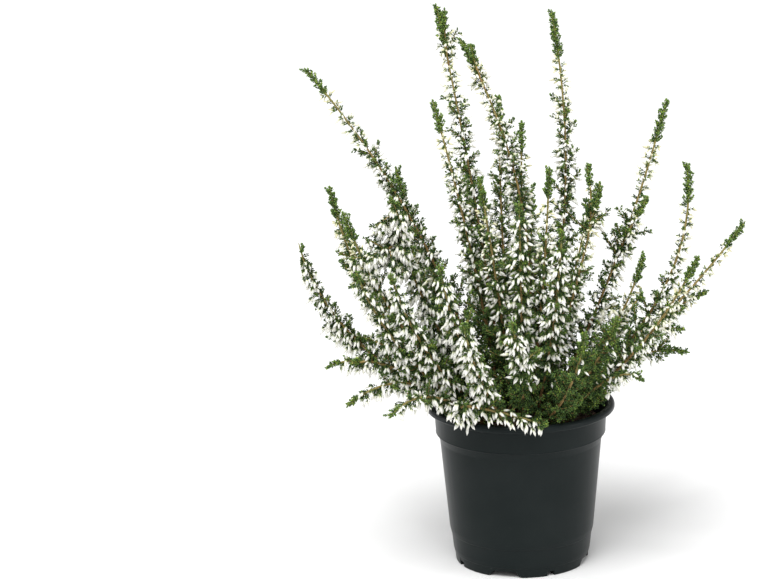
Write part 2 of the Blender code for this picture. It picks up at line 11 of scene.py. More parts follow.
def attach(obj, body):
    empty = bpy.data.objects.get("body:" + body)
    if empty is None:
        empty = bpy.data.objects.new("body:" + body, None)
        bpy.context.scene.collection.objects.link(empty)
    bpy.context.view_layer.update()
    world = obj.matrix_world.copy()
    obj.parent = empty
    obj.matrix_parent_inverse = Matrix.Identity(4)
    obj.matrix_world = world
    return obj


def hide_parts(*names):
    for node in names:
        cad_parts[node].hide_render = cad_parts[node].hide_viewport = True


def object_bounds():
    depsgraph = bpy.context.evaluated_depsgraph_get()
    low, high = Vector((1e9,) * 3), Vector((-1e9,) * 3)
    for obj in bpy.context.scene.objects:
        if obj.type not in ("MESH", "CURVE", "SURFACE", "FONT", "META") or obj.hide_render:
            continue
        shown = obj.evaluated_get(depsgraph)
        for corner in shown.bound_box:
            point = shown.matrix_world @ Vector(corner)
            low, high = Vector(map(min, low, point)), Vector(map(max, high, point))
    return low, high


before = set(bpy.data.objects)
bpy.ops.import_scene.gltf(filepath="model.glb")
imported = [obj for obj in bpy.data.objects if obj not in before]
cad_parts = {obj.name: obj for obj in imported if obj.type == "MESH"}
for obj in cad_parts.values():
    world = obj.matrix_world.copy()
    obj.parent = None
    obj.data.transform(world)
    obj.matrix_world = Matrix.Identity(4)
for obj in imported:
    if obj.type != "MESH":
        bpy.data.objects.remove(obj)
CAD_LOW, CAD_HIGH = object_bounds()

# The potted heather as it looks. Lengths are in millimetres and become metres in the meshes.
# The stems follow the same table and the same rules as the solids, so each fine piece lies on its solid.

MM = 0.001
GAP = 0.35
TURN = 2.0 * math.pi
GOLDEN_ANGLE = math.radians(137.5)
LOOK_SEED = 7

# Pot
POT_HEIGHT = 104.5
RIM_RADIUS = 60.0
RIM_INNER_RADIUS = 55.6
LIP_UNDERSIDE = 100.2
COLLAR_RADIUS = 54.8
WALL = 1.4
INNER_STEP_RADIUS = 43.6
INNER_FLOOR_RADIUS = 41.2
BASE_RADIUS = 42.3
PAD_RADIUS = 24.0
CHANNEL_HEIGHT = 4.3
FLOOR_HEIGHT = 5.8
RING_CUTS = 4
SCALLOP_ANGLE = -18.0
SCALLOP_HALF_ANGLES = (15.0, 9.5)
SCALLOP_HEIGHT = 4.0
SLOT_ANGLE = 23.0
SLOT_HALF_ANGLES = (3.6, 3.0)
SLOT_HEIGHT = 3.1
DRAIN_HOLES = 4
DRAIN_RING = 30.0
DRAIN_RADIUS = 2.6
FINE_POT_SIDES = 144

# Peat
SOIL_TOP = 90.5
SOIL_CROWN = 1.5
SOIL_EDGE_RADIUS = 50.9
SOIL_MARGIN = 0.8
STEM_DEPTH = 11.0
STEM_RISE = 1.9

# Waves of the peat: heights, lobes round the pot, and lengths that turn them. They are lower in the middle
# and at the edge.
BUMP_HEIGHTS = (1.1, 0.8)
BUMP_LOBES = (3.0, 5.0)
BUMP_LENGTHS = (9.0, 6.0)
CALM_MIDDLE = 12.0
CALM_EDGE = 48.0
EDGE_SHARE = 0.4

# Stems
STEM_SIDES = 5
FORK_SIDES = 4
STEM_RADIUS = 1.1
TWIG_RADIUS = 0.8
SHOOT_RADIUS = 1.2
LEAFY_TIP = 22.0
CLEARANCE = 0.4
SEED = 41

# Distance between two stems near the ground, how much it grows above, and over what height
CLOSE_SPACING = 4.2
EXTRA_SPACING = 4.3
SPACING_RISE = 60.0
SPACING_FOOT = 6.0

# Rounds of pushing stems apart, points compared on each, the longest push, and how far root and tip follow
BEND_ROUNDS = 60
BEND_SAMPLES = 40
LONGEST_PUSH = 1.5
ROOT_FOLLOWS = 0.6
TIP_FOLLOWS = 0.5
CURVE_SAMPLES = 25

# Small pieces along the stems: length, widest radius, place of the widest part, distance to the next
SHAPES = {
    "bud": (7.2, 0.95, 0.6, 12.8),
    "shoot": (6.0, 1.1, 0.5, 7.5),
    "twig": (16.0, 1.15, 0.4, 18.5),
}
ATTEMPTS = 7
FULL_SIZE_ATTEMPTS = 5
SHORT_SCALE = 0.7
REPEAT_SCALES = (0.85, 1.1)
STEP_SCALES = (0.9, 1.1)
END_MARGIN = 2.5
TIP_MARGIN = 2.0
STEM_CORE = 1.6
BUD_HANG = (-0.7, -0.1)
BUD_FORWARD = (0.0, 0.35)
SHOOT_LEAN = 0.75

# Room round the solids: bars that can be noted, and the depths of the lip and of the rim's inner edge
MOST_BARS = 4096
FREE_ROOM = 99.0
LIP_DEPTH = 2.0
RIM_DEPTH = 2.4

# Share of a stem where its flowers begin, and the bare length over its root
FLOWERS_FROM = {"tall": 0.42, "low": 0.30, "leafy": 2.0}
BARE_LENGTH = {"tall": 20.0, "low": 20.0, "leafy": 14.0}
FORK_BARE_LENGTH = 9.0

# Forks: how far they follow their stem before they turn away, their points, and the turns tried to find room
FORK_BEND = 0.45
FORK_POINTS = 5
FORK_START = 0.3
FORK_TURNS = (0.0, 0.5, -0.5, 1.0, -1.0, 1.6, -1.6, 2.4, -2.4, math.pi)

# Each stem: name, habit, root (x, y), middle (x, y, z), tip (x, y, z), forks.
# A fork is the share of the stem where it leaves and the way from there to its own tip.
# Habits: tall stems flower in their upper half, low ones hang and flower closely, leafy ones have no buds.
STEMS = (
    ("stem_tall_left", "tall", (-9, 3), (-25, 8, 222), (-49, 15, 358), ((0.86, (-2, 4, 36)),)),
    ("stem_tall_left_rear", "tall", (-2, 10), (5, 28, 214), (-34, 50, 330), ((0.86, (-9, -3, 30)),)),
    ("stem_left_centre", "tall", (-11, -6), (-29, -17, 200), (-53, -28, 306), ()),
    ("stem_high_left", "tall", (-19, 6), (-62, 11, 212), (-132, 22, 318), ()),
    ("stem_tall_right", "tall", (5, 2), (29, 2, 225), (22, 6, 354), ()),
    ("stem_right", "tall", (16, -4), (60, -9, 196), (92, -12, 300), ((0.50, (20, -8, 44)),)),
    ("stem_right_front", "tall", (19, -10), (86, -37, 182), (100, -52, 268), ()),
    ("stem_far_right", "tall", (21, 1), (88, 4, 152), (144, 8, 217), ((0.50, (34, 12, 18)),)),
    ("stem_low_right_front", "tall", (19, -15), (70, -38, 144), (106, -70, 214), ()),
    ("stem_right_rear", "tall", (14, 8), (58, 36, 134), (84, 55, 186), ()),
    ("stem_curl_right", "leafy", (24, 7), (68, 18, 124), (111, 26, 126), ()),
    ("stem_right_centre", "tall", (10, -4), (33, -24, 180), (49, -35, 254), ((0.74, (0, 8, 46)),)),
    ("stem_front_centre", "tall", (5, -11), (13, -33, 185), (17, -50, 267), ()),
    ("stem_rear_centre", "tall", (-3, 16), (-8, 48, 200), (-8, 72, 289), ()),
    ("stem_centre", "tall", (4, 10), (4, 28, 200), (5, 42, 278), ()),
    ("stem_front_left_centre", "tall", (-4, -10), (-14, -36, 180), (-26, -55, 263), ()),
    ("stem_front_spike", "low", (0, -17), (-1, -52, 168), (-3, -76, 252), ()),
    ("stem_front_right_spike", "low", (7, -18), (17, -60, 162), (22, -90, 237), ()),
    ("stem_left", "tall", (-22, -5), (-86, -20, 168), (-117, -35, 255), ((0.50, (-26, 2, 36)),)),
    ("stem_left_front", "tall", (-20, -11), (-74, -40, 165), (-109, -62, 245), ()),
    ("stem_far_left", "low", (-26, 1), (-102, 2, 145), (-138, -2, 212), ((0.46, (-26, 10, 14)),)),
    ("stem_cluster_left", "low", (-15, -9), (-60, -36, 180), (-78, -58, 250), ((0.72, (-27, -15, 0)),)),
    ("stem_left_rear", "tall", (-13, 8), (-52, 22, 175), (-76, 32, 252), ()),
    ("stem_front_left", "low", (-13, -18), (-56, -62, 150), (-81, -100, 215), ()),
    ("stem_front_far_left", "low", (-20, -17), (-72, -52, 150), (-102, -80, 212), ()),
    ("stem_front_left_spike", "low", (-8, -22), (-36, -66, 155), (-52, -101, 220), ((0.46, (2, -20, 38)),)),
    ("stem_front_low_left", "low", (-6, -28), (-26, -82, 138), (-39, -124, 190), ()),
    ("stem_front_low", "low", (1, -26), (-3, -78, 145), (-10, -116, 188), ((0.50, (12, -24, 22)),)),
    ("stem_front_low_right", "leafy", (13, -22), (42, -54, 140), (55, -84, 181), ()),
    ("stem_front_right", "leafy", (8, -28), (26, -64, 128), (36, -90, 174), ()),
    ("stem_droop_left", "low", (-29, -6), (-80, -20, 134), (-122, -30, 138), ((0.60, (-18, -14, 4)),)),
    ("stem_droop_front_left", "low", (-26, -14), (-70, -44, 130), (-110, -64, 121), ()),
    ("stem_droop_front", "low", (-20, -24), (-56, -62, 126), (-84, -92, 122), ()),
    ("stem_droop_left_rear", "low", (-29, 7), (-82, 24, 134), (-120, 34, 138), ()),
    ("stem_over_rim", "low", (-14, -27), (-38, -66, 121), (14, -74, 110), ()),
    ("stem_low_right", "low", (22, -20), (54, -44, 130), (74, -54, 130), ()),
    ("stem_tuft_front", "leafy", (15, -29), (28, -46, 112), (36, -60, 122), ()),
    ("stem_tuft_right", "leafy", (29, -11), (42, -24, 110), (54, -34, 122), ()),
    ("stem_rear", "tall", (-7, 22), (-22, 62, 165), (-30, 96, 240), ((0.50, (-14, 14, 40)),)),
    ("stem_rear_right", "tall", (3, 22), (10, 66, 155), (14, 105, 222), ()),
    ("stem_rear_left", "tall", (-16, 17), (-54, 52, 160), (-80, 80, 232), ()),
    ("stem_rear_far_left", "low", (-23, 12), (-80, 38, 152), (-116, 60, 218), ()),
    ("stem_rear_right_high", "tall", (11, 17), (34, 52, 156), (50, 76, 214), ()),
    ("stem_rear_far_right", "low", (18, 14), (58, 52, 128), (86, 84, 152), ()),
    ("stem_rear_low_right", "low", (26, 12), (72, 40, 130), (112, 66, 130), ()),
    ("stem_rear_droop", "low", (11, 27), (30, 80, 130), (48, 118, 152), ((0.50, (-8, 22, 16)),)),
    ("stem_rear_droop_left", "low", (-23, 18), (-70, 58, 140), (-108, 92, 160), ()),
    ("stem_rear_low", "low", (0, 28), (-4, 82, 136), (-6, 128, 160), ()),
)


# Layout of the stems, as in the solids


def soil_bump(radius, angle):
    """Height of the peat over its mean level."""
    first = BUMP_HEIGHTS[0] * math.sin(BUMP_LOBES[0] * angle + radius / BUMP_LENGTHS[0])
    second = BUMP_HEIGHTS[1] * math.cos(BUMP_LOBES[1] * angle - radius / BUMP_LENGTHS[1])
    return (first + second) * min(1.0, radius / CALM_MIDDLE) * (1.0 if radius < CALM_EDGE else EDGE_SHARE)


def soil_height(x, y):
    """Level of the peat at a point."""
    radius = math.hypot(x, y)
    crown = SOIL_CROWN * (1.0 - (radius / SOIL_EDGE_RADIUS) ** 2)
    return SOIL_TOP + crown + soil_bump(radius, math.atan2(y, x))


def frame_of(way):
    """Two directions square to a third one."""
    helper = np.array((0.0, 0.0, 1.0)) if abs(way[2]) < 0.9 else np.array((1.0, 0.0, 0.0))
    side = np.cross(way, helper)
    side /= np.linalg.norm(side)
    return side, np.cross(way, side)


def unit(vector):
    """A vector of length one."""
    return vector / np.linalg.norm(vector)


def quadratic(start, control, end, shares):
    """Points on a curve with one control point."""
    t = np.asarray(shares)[:, None]
    return (1 - t) ** 2 * start + 2 * t * (1 - t) * control + t**2 * end


class Stem:
    """One stem of the table, with its curve and its forks."""

    def __init__(self, row):
        self.name, self.habit, root, middle, tip, self.fork_rows = row
        self.root = np.array((root[0], root[1], soil_height(*root) + STEM_RISE), float)
        self.tip = np.array(tip, float)
        self.control = 2.0 * np.array(middle, float) - 0.5 * (self.root + self.tip)

    def curve(self, shares):
        """Points of the stem over the ground."""
        return quadratic(self.root, self.control, self.tip, shares)

    def settle(self):
        """Fix the root over the peat and lay out the forks. The foot stands upright in the peat."""
        self.root[2] = soil_height(self.root[0], self.root[1]) + STEM_RISE
        self.foot = self.root - np.array((0.0, 0.0, STEM_DEPTH))
        self.forks = []
        for share, way in self.fork_rows:
            here = self.curve([share])[0]
            ahead = unit(self.curve([share + 0.02])[0] - here)
            end = here + np.array(way, float)
            reach = np.linalg.norm(way)
            bend = here + ahead * reach * FORK_BEND
            self.forks.append(quadratic(here, bend, end, np.linspace(0.0, 1.0, FORK_POINTS)))


def spacing_wanted(height):
    """How far apart two stems stay, less near the ground."""
    rise = min(1.0, max(0.0, (height - SOIL_TOP - SPACING_FOOT) / SPACING_RISE))
    return CLOSE_SPACING + EXTRA_SPACING * rise


def bend_clear(stems):
    """Push stems apart where they pass too close, by moving the points that shape their curves."""
    shares = np.linspace(0.0, 1.0, BEND_SAMPLES)
    weights = np.stack([(1 - shares) ** 2, 2 * shares * (1 - shares), shares**2], 1)
    for _ in range(BEND_ROUNDS):
        curves = [stem.curve(shares) for stem in stems]
        wanted = [np.array([spacing_wanted(p[2]) for p in curve]) for curve in curves]
        pushes = [np.zeros((3, 3)) for _ in stems]
        for i, first in enumerate(curves):
            for j in range(i + 1, len(curves)):
                second = curves[j]
                apart = first[:, None, :] - second[None, :, :]
                span = np.linalg.norm(apart, axis=2) + 1e-9
                need = 0.5 * (wanted[i][:, None] + wanted[j][None, :])
                short = np.clip(need - span, 0.0, None)
                if short.max() <= 0.0:
                    continue
                a, b = np.unravel_index(np.argmax(short), short.shape)
                shove = apart[a, b] / span[a, b] * short[a, b] * 0.5
                pushes[i] += weights[a][:, None] * shove
                pushes[j] -= weights[b][:, None] * shove
        for stem, push in zip(stems, pushes):
            push = np.clip(push, -LONGEST_PUSH, LONGEST_PUSH)
            stem.root[:2] += push[0][:2] * ROOT_FOLLOWS
            stem.control += push[1]
            stem.tip += push[2] * TIP_FOLLOWS


class Space:
    """All round bars placed so far, to keep the pieces of different stems apart."""

    def __init__(self):
        self.bars = np.zeros((MOST_BARS, 8))
        self.count = 0

    def add(self, start, end, radius, owner):
        """Note one bar."""
        self.bars[self.count] = (*start, *end, radius, owner)
        self.count += 1

    def room(self, start, end, radius, owner):
        """Smallest gap between a bar and the bars of other owners."""
        bars = self.bars[: self.count]
        bars = bars[bars[:, 7] != owner]
        if not len(bars):
            return FREE_ROOM
        gaps = bar_distance(start, end, bars[:, :3], bars[:, 3:6]) - bars[:, 6] - radius
        return float(gaps.min())


def bar_distance(p, q, starts, ends):
    """Distance from the segment p-q to many segments."""
    u = q - p
    v = ends - starts
    w = p - starts
    a = u @ u
    b = v @ u
    c = np.einsum("ij,ij->i", v, v)
    d = w @ u
    e = np.einsum("ij,ij->i", v, w)
    det = a * c - b * b
    s = np.where(det > 1e-9, np.clip((b * e - c * d) / np.where(det > 1e-9, det, 1.0), 0.0, 1.0), 0.0)
    t = np.clip((b * s + e) / c, 0.0, 1.0)
    s = np.clip((b * t - d) / a, 0.0, 1.0)
    gap = w + s[:, None] * u - t[:, None] * v
    return np.linalg.norm(gap, axis=1)


def clear_of_pot(start, end, radius):
    """True where a bar stays off the pot and the peat."""
    for share in np.linspace(0.0, 1.0, 7):
        x, y, z = start + (end - start) * share
        out = math.hypot(x, y)
        edge = RIM_RADIUS if z > LIP_UNDERSIDE - LIP_DEPTH else COLLAR_RADIUS
        margin = radius + CLEARANCE
        if z < POT_HEIGHT + margin and RIM_INNER_RADIUS - RIM_DEPTH - margin < out < edge + margin:
            return False
        if out <= RIM_INNER_RADIUS and z < soil_height(x, y) + margin + SOIL_MARGIN:
            return False
    return True


def stem_radius(share, length):
    """Radius of a stem's solid: woody at its foot, thin in the middle, thicker in the leafy tip."""
    if (1.0 - share) * length < LEAFY_TIP:
        return SHOOT_RADIUS
    return STEM_RADIUS + (TWIG_RADIUS - STEM_RADIUS) * share


def path_length(points):
    """Length along a row of points."""
    return float(sum(np.linalg.norm(b - a) for a, b in zip(points, points[1:])))


def repeat_kind(habit, share, rest):
    """What grows at a place: a twig low down, a bud in the flowering part, a leaf shoot near the tip."""
    if rest < LEAFY_TIP + TIP_MARGIN:
        return "shoot"
    if share > FLOWERS_FROM[habit]:
        return "bud"
    return "twig"


def through_a_side(way, ahead, sides):
    """Turn a direction round the stem so that it leaves through the middle of one of its sides."""
    side, other = frame_of(ahead)
    along = way @ ahead
    angle = math.atan2(way @ other, way @ side)
    step = TURN / sides
    angle = (math.floor(angle / step) + 0.5) * step
    out = math.cos(angle) * side + math.sin(angle) * other
    return along * ahead + math.sqrt(max(0.0, 1.0 - along * along)) * out


def repeat_way(kind, chord, ahead, angle, sides, rng):
    """Direction of a repeat: shoots and twigs lean along the stem, buds stand out and hang a little."""
    side, other = frame_of(ahead)
    out = math.cos(angle) * side + math.sin(angle) * other
    if kind == "bud":
        hang = np.array((0.0, 0.0, rng.uniform(*BUD_HANG)))
        way = out + ahead * rng.uniform(*BUD_FORWARD) + hang
    elif kind == "shoot":
        way = out * SHOOT_LEAN + ahead
    else:
        way = out + ahead
    return through_a_side(unit(way), chord, sides)


def place_repeats(stem, owner, curve, length, first, sides, space, rng):
    """Walk along a curve and place repeats where there is room for them."""
    placed = []
    chord = unit(curve([1.0])[0] - curve([0.0])[0])
    along = first
    angle = rng.uniform(0.0, TURN)
    while along < length - END_MARGIN:
        share = along / length
        kind = repeat_kind(stem.habit, share, length - along)
        size, widest, _, step = SHAPES[kind]
        here = curve([share])[0]
        ahead = unit(curve([min(1.0, share + 0.01)])[0] - curve([share - 0.01])[0])
        scale = rng.uniform(*REPEAT_SCALES)
        for attempt in range(ATTEMPTS):
            reach = size * scale * (1.0 if attempt < FULL_SIZE_ATTEMPTS else SHORT_SCALE)
            way = repeat_way(kind, chord, ahead, angle + attempt * TURN / sides, sides, rng)
            end = here + way * reach
            outer = here + way * STEM_CORE
            fits = clear_of_pot(outer, end, widest)
            if fits and space.room(outer, end, widest, owner) > CLEARANCE:
                placed.append((kind, here, way, reach, length - along))
                space.add(outer, end, widest, owner)
                break
        angle += GOLDEN_ANGLE
        along += step * rng.uniform(*STEP_SCALES)
    return placed


def reserve(stems, space):
    """Note the bare stems before any repeat is placed."""
    shares = np.linspace(0.0, 1.0, CURVE_SAMPLES)
    for owner, stem in enumerate(stems):
        points = stem.curve(shares)
        length = path_length(points)
        space.add(stem.foot, points[0], STEM_RADIUS, owner)
        for index in range(len(points) - 1):
            space.add(points[index], points[index + 1], stem_radius(shares[index + 1], length), owner)


def keep_forks(stems, space):
    """Keep the forks that stay clear of other stems, turning the others round their stem first."""
    for owner, stem in enumerate(stems):
        kept = []
        for fork in stem.forks:
            for turn in FORK_TURNS:
                points = turned(fork, turn)
                if fork_fits(points, owner, space):
                    kept.append(points)
                    for a, b in zip(points, points[1:]):
                        space.add(a, b, SHOOT_RADIUS, owner)
                    break
        stem.forks = kept


def turned(points, angle):
    """A fork turned round the vertical through its start."""
    cos, sin = math.cos(angle), math.sin(angle)
    spin = np.array(((cos, -sin, 0.0), (sin, cos, 0.0), (0.0, 0.0, 1.0)))
    return points[0] + (points - points[0]) @ spin.T


def fork_fits(points, owner, space):
    """True where a fork has room for itself and some of its repeats."""
    for a, b in zip(points[1:], points[2:]):
        if space.room(a, b, SHOOT_RADIUS + STEM_CORE, owner) < CLEARANCE:
            return False
        if not clear_of_pot(a, b, SHOOT_RADIUS + STEM_CORE):
            return False
    first = points[0] + (points[1] - points[0]) * FORK_START
    return space.room(first, points[1], SHOOT_RADIUS, owner) > CLEARANCE


def fork_curve(points):
    """A function that walks along a fork."""
    spread = np.linspace(0.0, 1.0, len(points))

    def curve(shares):
        return np.stack([np.interp(shares, spread, points[:, axis]) for axis in range(3)], 1)

    return curve


def lay_out():
    """All stems with their forks and the repeats that their solids carry."""
    stems = [Stem(row) for row in STEMS]
    bend_clear(stems)
    for stem in stems:
        stem.settle()
    space = Space()
    reserve(stems, space)
    keep_forks(stems, space)
    rng = random.Random(SEED)
    for owner, stem in enumerate(stems):
        length = path_length(stem.curve(np.linspace(0.0, 1.0, CURVE_SAMPLES)))
        bare = BARE_LENGTH[stem.habit]
        stem.repeats = place_repeats(stem, owner, stem.curve, length, bare, STEM_SIDES, space, rng)
        for fork in stem.forks:
            reach = path_length(fork)
            stem.repeats += place_repeats(
                stem, owner, fork_curve(fork), reach, FORK_BARE_LENGTH, FORK_SIDES, space, rng
            )
    return stems


# Fine growth: leaves, buds and thin twigs

LEAF_LENGTH = 2.3
LEAF_WIDTH = 1.4
LEAF_DEPTH = 0.85
BUD_SIZE = 5.7
YOUNG_BUD_SIZE = 3.3
BUD_HALF_WIDTH = 1.02
BRACT_SIZE = 4.4
DOWN = np.array((0.0, 0.0, -1.0))
BOX_LOW = np.array(CAD_LOW) / MM
BOX_HIGH = np.array(CAD_HIGH) / MM

# Ages and tones go from 0 to 1. They are kept in this many steps, so that a small colour map holds them all.
CELLS = 8

# Under this height no bud points to the plant's middle, where leaves shade it
SHADED_HEIGHT = 250.0
SHADED_TURN = -0.32

# How far before its last point a stem's line ends, and the length over which its direction is taken
END_GAP = 0.9
PROBE = 0.4


class Cover(NamedTuple):
    """How leaves stand on a shoot: distance from its line, length at foot and tip, step, lean and width."""

    radius: float
    length: tuple
    step: float
    lean: float
    wide: float = 1.0


KNOB = Cover(0.5, (2.15, 2.15 * 0.85), 0.72, 31.0, 1.25)
STEM_END = Cover(0.45, (2.1, 1.8), 0.85, 28.0, 1.1)
SPRAY = Cover(0.2, (2.35, 2.0), 1.25, 34.0)
SPRIG = Cover(0.22, (2.25, 1.85), 1.05, 33.0)
RACEME = Cover(0.25, (2.1, 1.8), 1.3, 36.0)
STALK = Cover(0.22, (2.0, 1.7), 0.7, 42.0)

# Shortest and longest distance between neighbours, and how far forward they lean
SPRIG_GAP = (1.9, 2.5)
RACEME_GAP = (1.7, 2.3)
KNOB_GAP = (2.0, 2.7)
FAN_GAP = (2.2, 3.4)
FORWARD = {
    "twig": (0.4, 1.0),
    "flower": (0.25, 0.8),
    "raceme": (0.3, 0.8),
    "knob": (0.95, 1.4),
    "fan": (0.2, 0.7),
}

# Unevenness of leaves: share of their step, turn and lean in radians, size and age. Then that of gaps.
STEP_SPREAD = 0.12
TURN_SPREAD = 0.16
LEAN_SPREAD = 0.12
UNEVEN_SIZES = (0.88, 1.12)
AGE_SPREAD = 0.07
UNEVEN_GAPS = (0.8, 1.2)

# The four leaves at the end of a shoot: length, share before the end, turn, spread, size, radius and tone
BUNCH_LENGTH = 1.8
BUNCH_START = 0.55
BUNCH_TURN = 0.4
BUNCH_SPREAD = 0.18
BUNCH_SIZE = 0.95
BUNCH_RADIUS = 0.2
BUNCH_TONE = 0.6

# Bare lengths at the foot and at the end of a short shoot, and the share of its length that it rises
LEAVES_FROM = 0.4
LEAVES_STOP = 0.6
RISE = 0.12

# Leafy side twigs: bark ages, waver, bare foot, and size and age by the height on the stem
SPRAY_BARK = (0.35, 0.8)
SPRAY_WAVER = 0.05
SPRAY_BARE = 1.3
TWIG_LIFT = 0.15
TWIG_SIZES = (0.6, 1.2)
TWIG_FOOT = 1.15
TWIG_TAPER = 0.5
TWIG_AGES = ((0.12, 0.35), (0.42, 0.45))

# Their sprigs: first place, bare end, lean, lengths, sizes, and the twig that has them at full length
SPRIG_START = (3.0, 0.2)
SPRIG_STOP = 2.0
SPRIG_LEAN = (1.1, 0.1)
SPRIG_LENGTHS = (5.2, 2.6)
SPRIG_SIZES = (0.7, 1.15)
FULL_SPRAY = 13.0
SHORT_SHARE = 0.3
SPRIG_YOUNGER = 0.18

# Flower shoots: leaves by age as (when old, change), radius and lean, how far they hang and their sizes
FLOWER_LEAVES = ((2.75, -0.9), (2.1, -0.5))
FLOWER_STEP = (0.6, 0.5)
FLOWER_RADIUS = 0.25
FLOWER_LEAN = 42.0
FLOWER_DROP = 0.2
FLOWER_HANG = -0.25
FLOWER_SIZES = (0.75, 1.2)

# Their buds: share of the shoot, shift, how far ahead, out and down they point, sizes and distance
BUD_REACH = 0.62
BUD_SHIFT = (0.0, 0.6)
BUD_AHEAD = (0.35, 0.9)
BUD_OUT = (0.35, 0.8)
BUD_DROP = (0.5, 1.2)
BUD_SIZES = (0.84, 1.12)
BUD_FOOT = 0.4

# Flowering side twigs: bark ages, curve, first and last place, hang, length and buds of the flower shoots
RACEME_BARK = (0.4, 0.9)
RACEME_CURVE = (0.18, 0.1)
RACEME_START = 2.0
RACEME_STOP = 1.5
RACEME_HANG = -0.2
RACEME_FLOWERS = (2.6, 3.8)
RACEME_BUDS = 1.8

# Single buds: shortest stalk, shares of the bud that reach past it, and the two buds beside
SHORTEST_STALK = 1.3
BUD_PAST_STALK = 0.9
BUD_PAST_FOOT = 0.95
LONE_SIZES = (0.9, 1.0)
BESIDE_SPREAD = 0.5
BESIDE_DROP = 0.15
BESIDE_BACK = 0.6
BESIDE_SIZES = (0.75, 0.95)

# Tiny leaves under a bud: spread, lengths, radius, and how much younger they look
BRACT_SPREAD = 0.42
BRACT_LENGTHS = (1.4, 1.9)
BRACT_RADIUS = 0.3
YOUNGER = 0.25

# Leafy ends: bare end, bunch, first and last knob, lift, length at the end and how much it grows, sizes
TIP_BARE = 1.4
TIP_BUNCH = 1.9
FIRST_KNOB = 0.3
LAST_KNOB = 2.6
KNOB_LIFT = 0.05
KNOB_LENGTHS = (1.9, 3.2)
KNOB_SIZES = (0.8, 1.15)
KNOB_TURN_SPREAD = 0.2

# Ages from foot to tip
FRESH = (0.7, 0.95)
END_AGE = (0.72, 0.95)
LOW_SPRAY_AGE = (0.2, 0.6)

# Radii of the thin stems from foot to tip
WOODY_RADII = (1.05, 0.6)
FORK_RADII = (0.75, 0.6)
RACEME_RADII = (0.42, 0.26)
SPRAY_RADII = (0.36, 0.22)
FIBRE_RADII = (0.22, 0.12)


def between(pair, share):
    """The value at a share of the way from the first of two to the second."""
    return pair[0] + (pair[1] - pair[0]) * share


class Path:
    """A smooth line through points, walked by length. It may end a little before its last point."""

    def __init__(self, points, short=0.0):
        self.points = np.asarray(points, float)
        steps = np.linalg.norm(np.diff(self.points, axis=0), axis=1)
        self.marks = np.concatenate([[0.0], np.cumsum(steps)])
        self.length = float(self.marks[-1]) - short
        self.side = frame_of(unit(self.points[-1] - self.points[0]))[0]

    def place(self, along):
        """Points at some lengths."""
        along = np.clip(along, 0.0, self.length)
        return np.stack([np.interp(along, self.marks, self.points[:, axis]) for axis in range(3)], -1)

    def frames(self, along):
        """Points with the direction ahead and two directions square to it."""
        along = np.atleast_1d(along)
        ahead = self.place(along + PROBE) - self.place(along - PROBE)
        ahead /= np.linalg.norm(ahead, axis=1)[:, None]
        side = self.side - ahead * (ahead @ self.side)[:, None]
        side /= np.linalg.norm(side, axis=1)[:, None]
        return self.place(along), ahead, side, np.cross(ahead, side)

    def leave(self, along, angle, forward, lift=0.0):
        """Foot and direction of something that leaves sideways."""
        point, ahead, side, other = (row[0] for row in self.frames(along))
        out = math.cos(angle) * side + math.sin(angle) * other
        return point, unit(out + ahead * forward - DOWN * lift)


def arch(start, way, length, end, count, middle=0.5):
    """A path that starts in one direction and bends to its end."""
    return Path(quadratic(start, start + way * length * middle, end, np.linspace(0.0, 1.0, count)))


def faces_inside(foot, way):
    """True for a bud low in the plant that points to its middle."""
    out = math.hypot(foot[0], foot[1])
    return foot[2] < SHADED_HEIGHT and (foot[0] * way[0] + foot[1] * way[1]) < SHADED_TURN * out


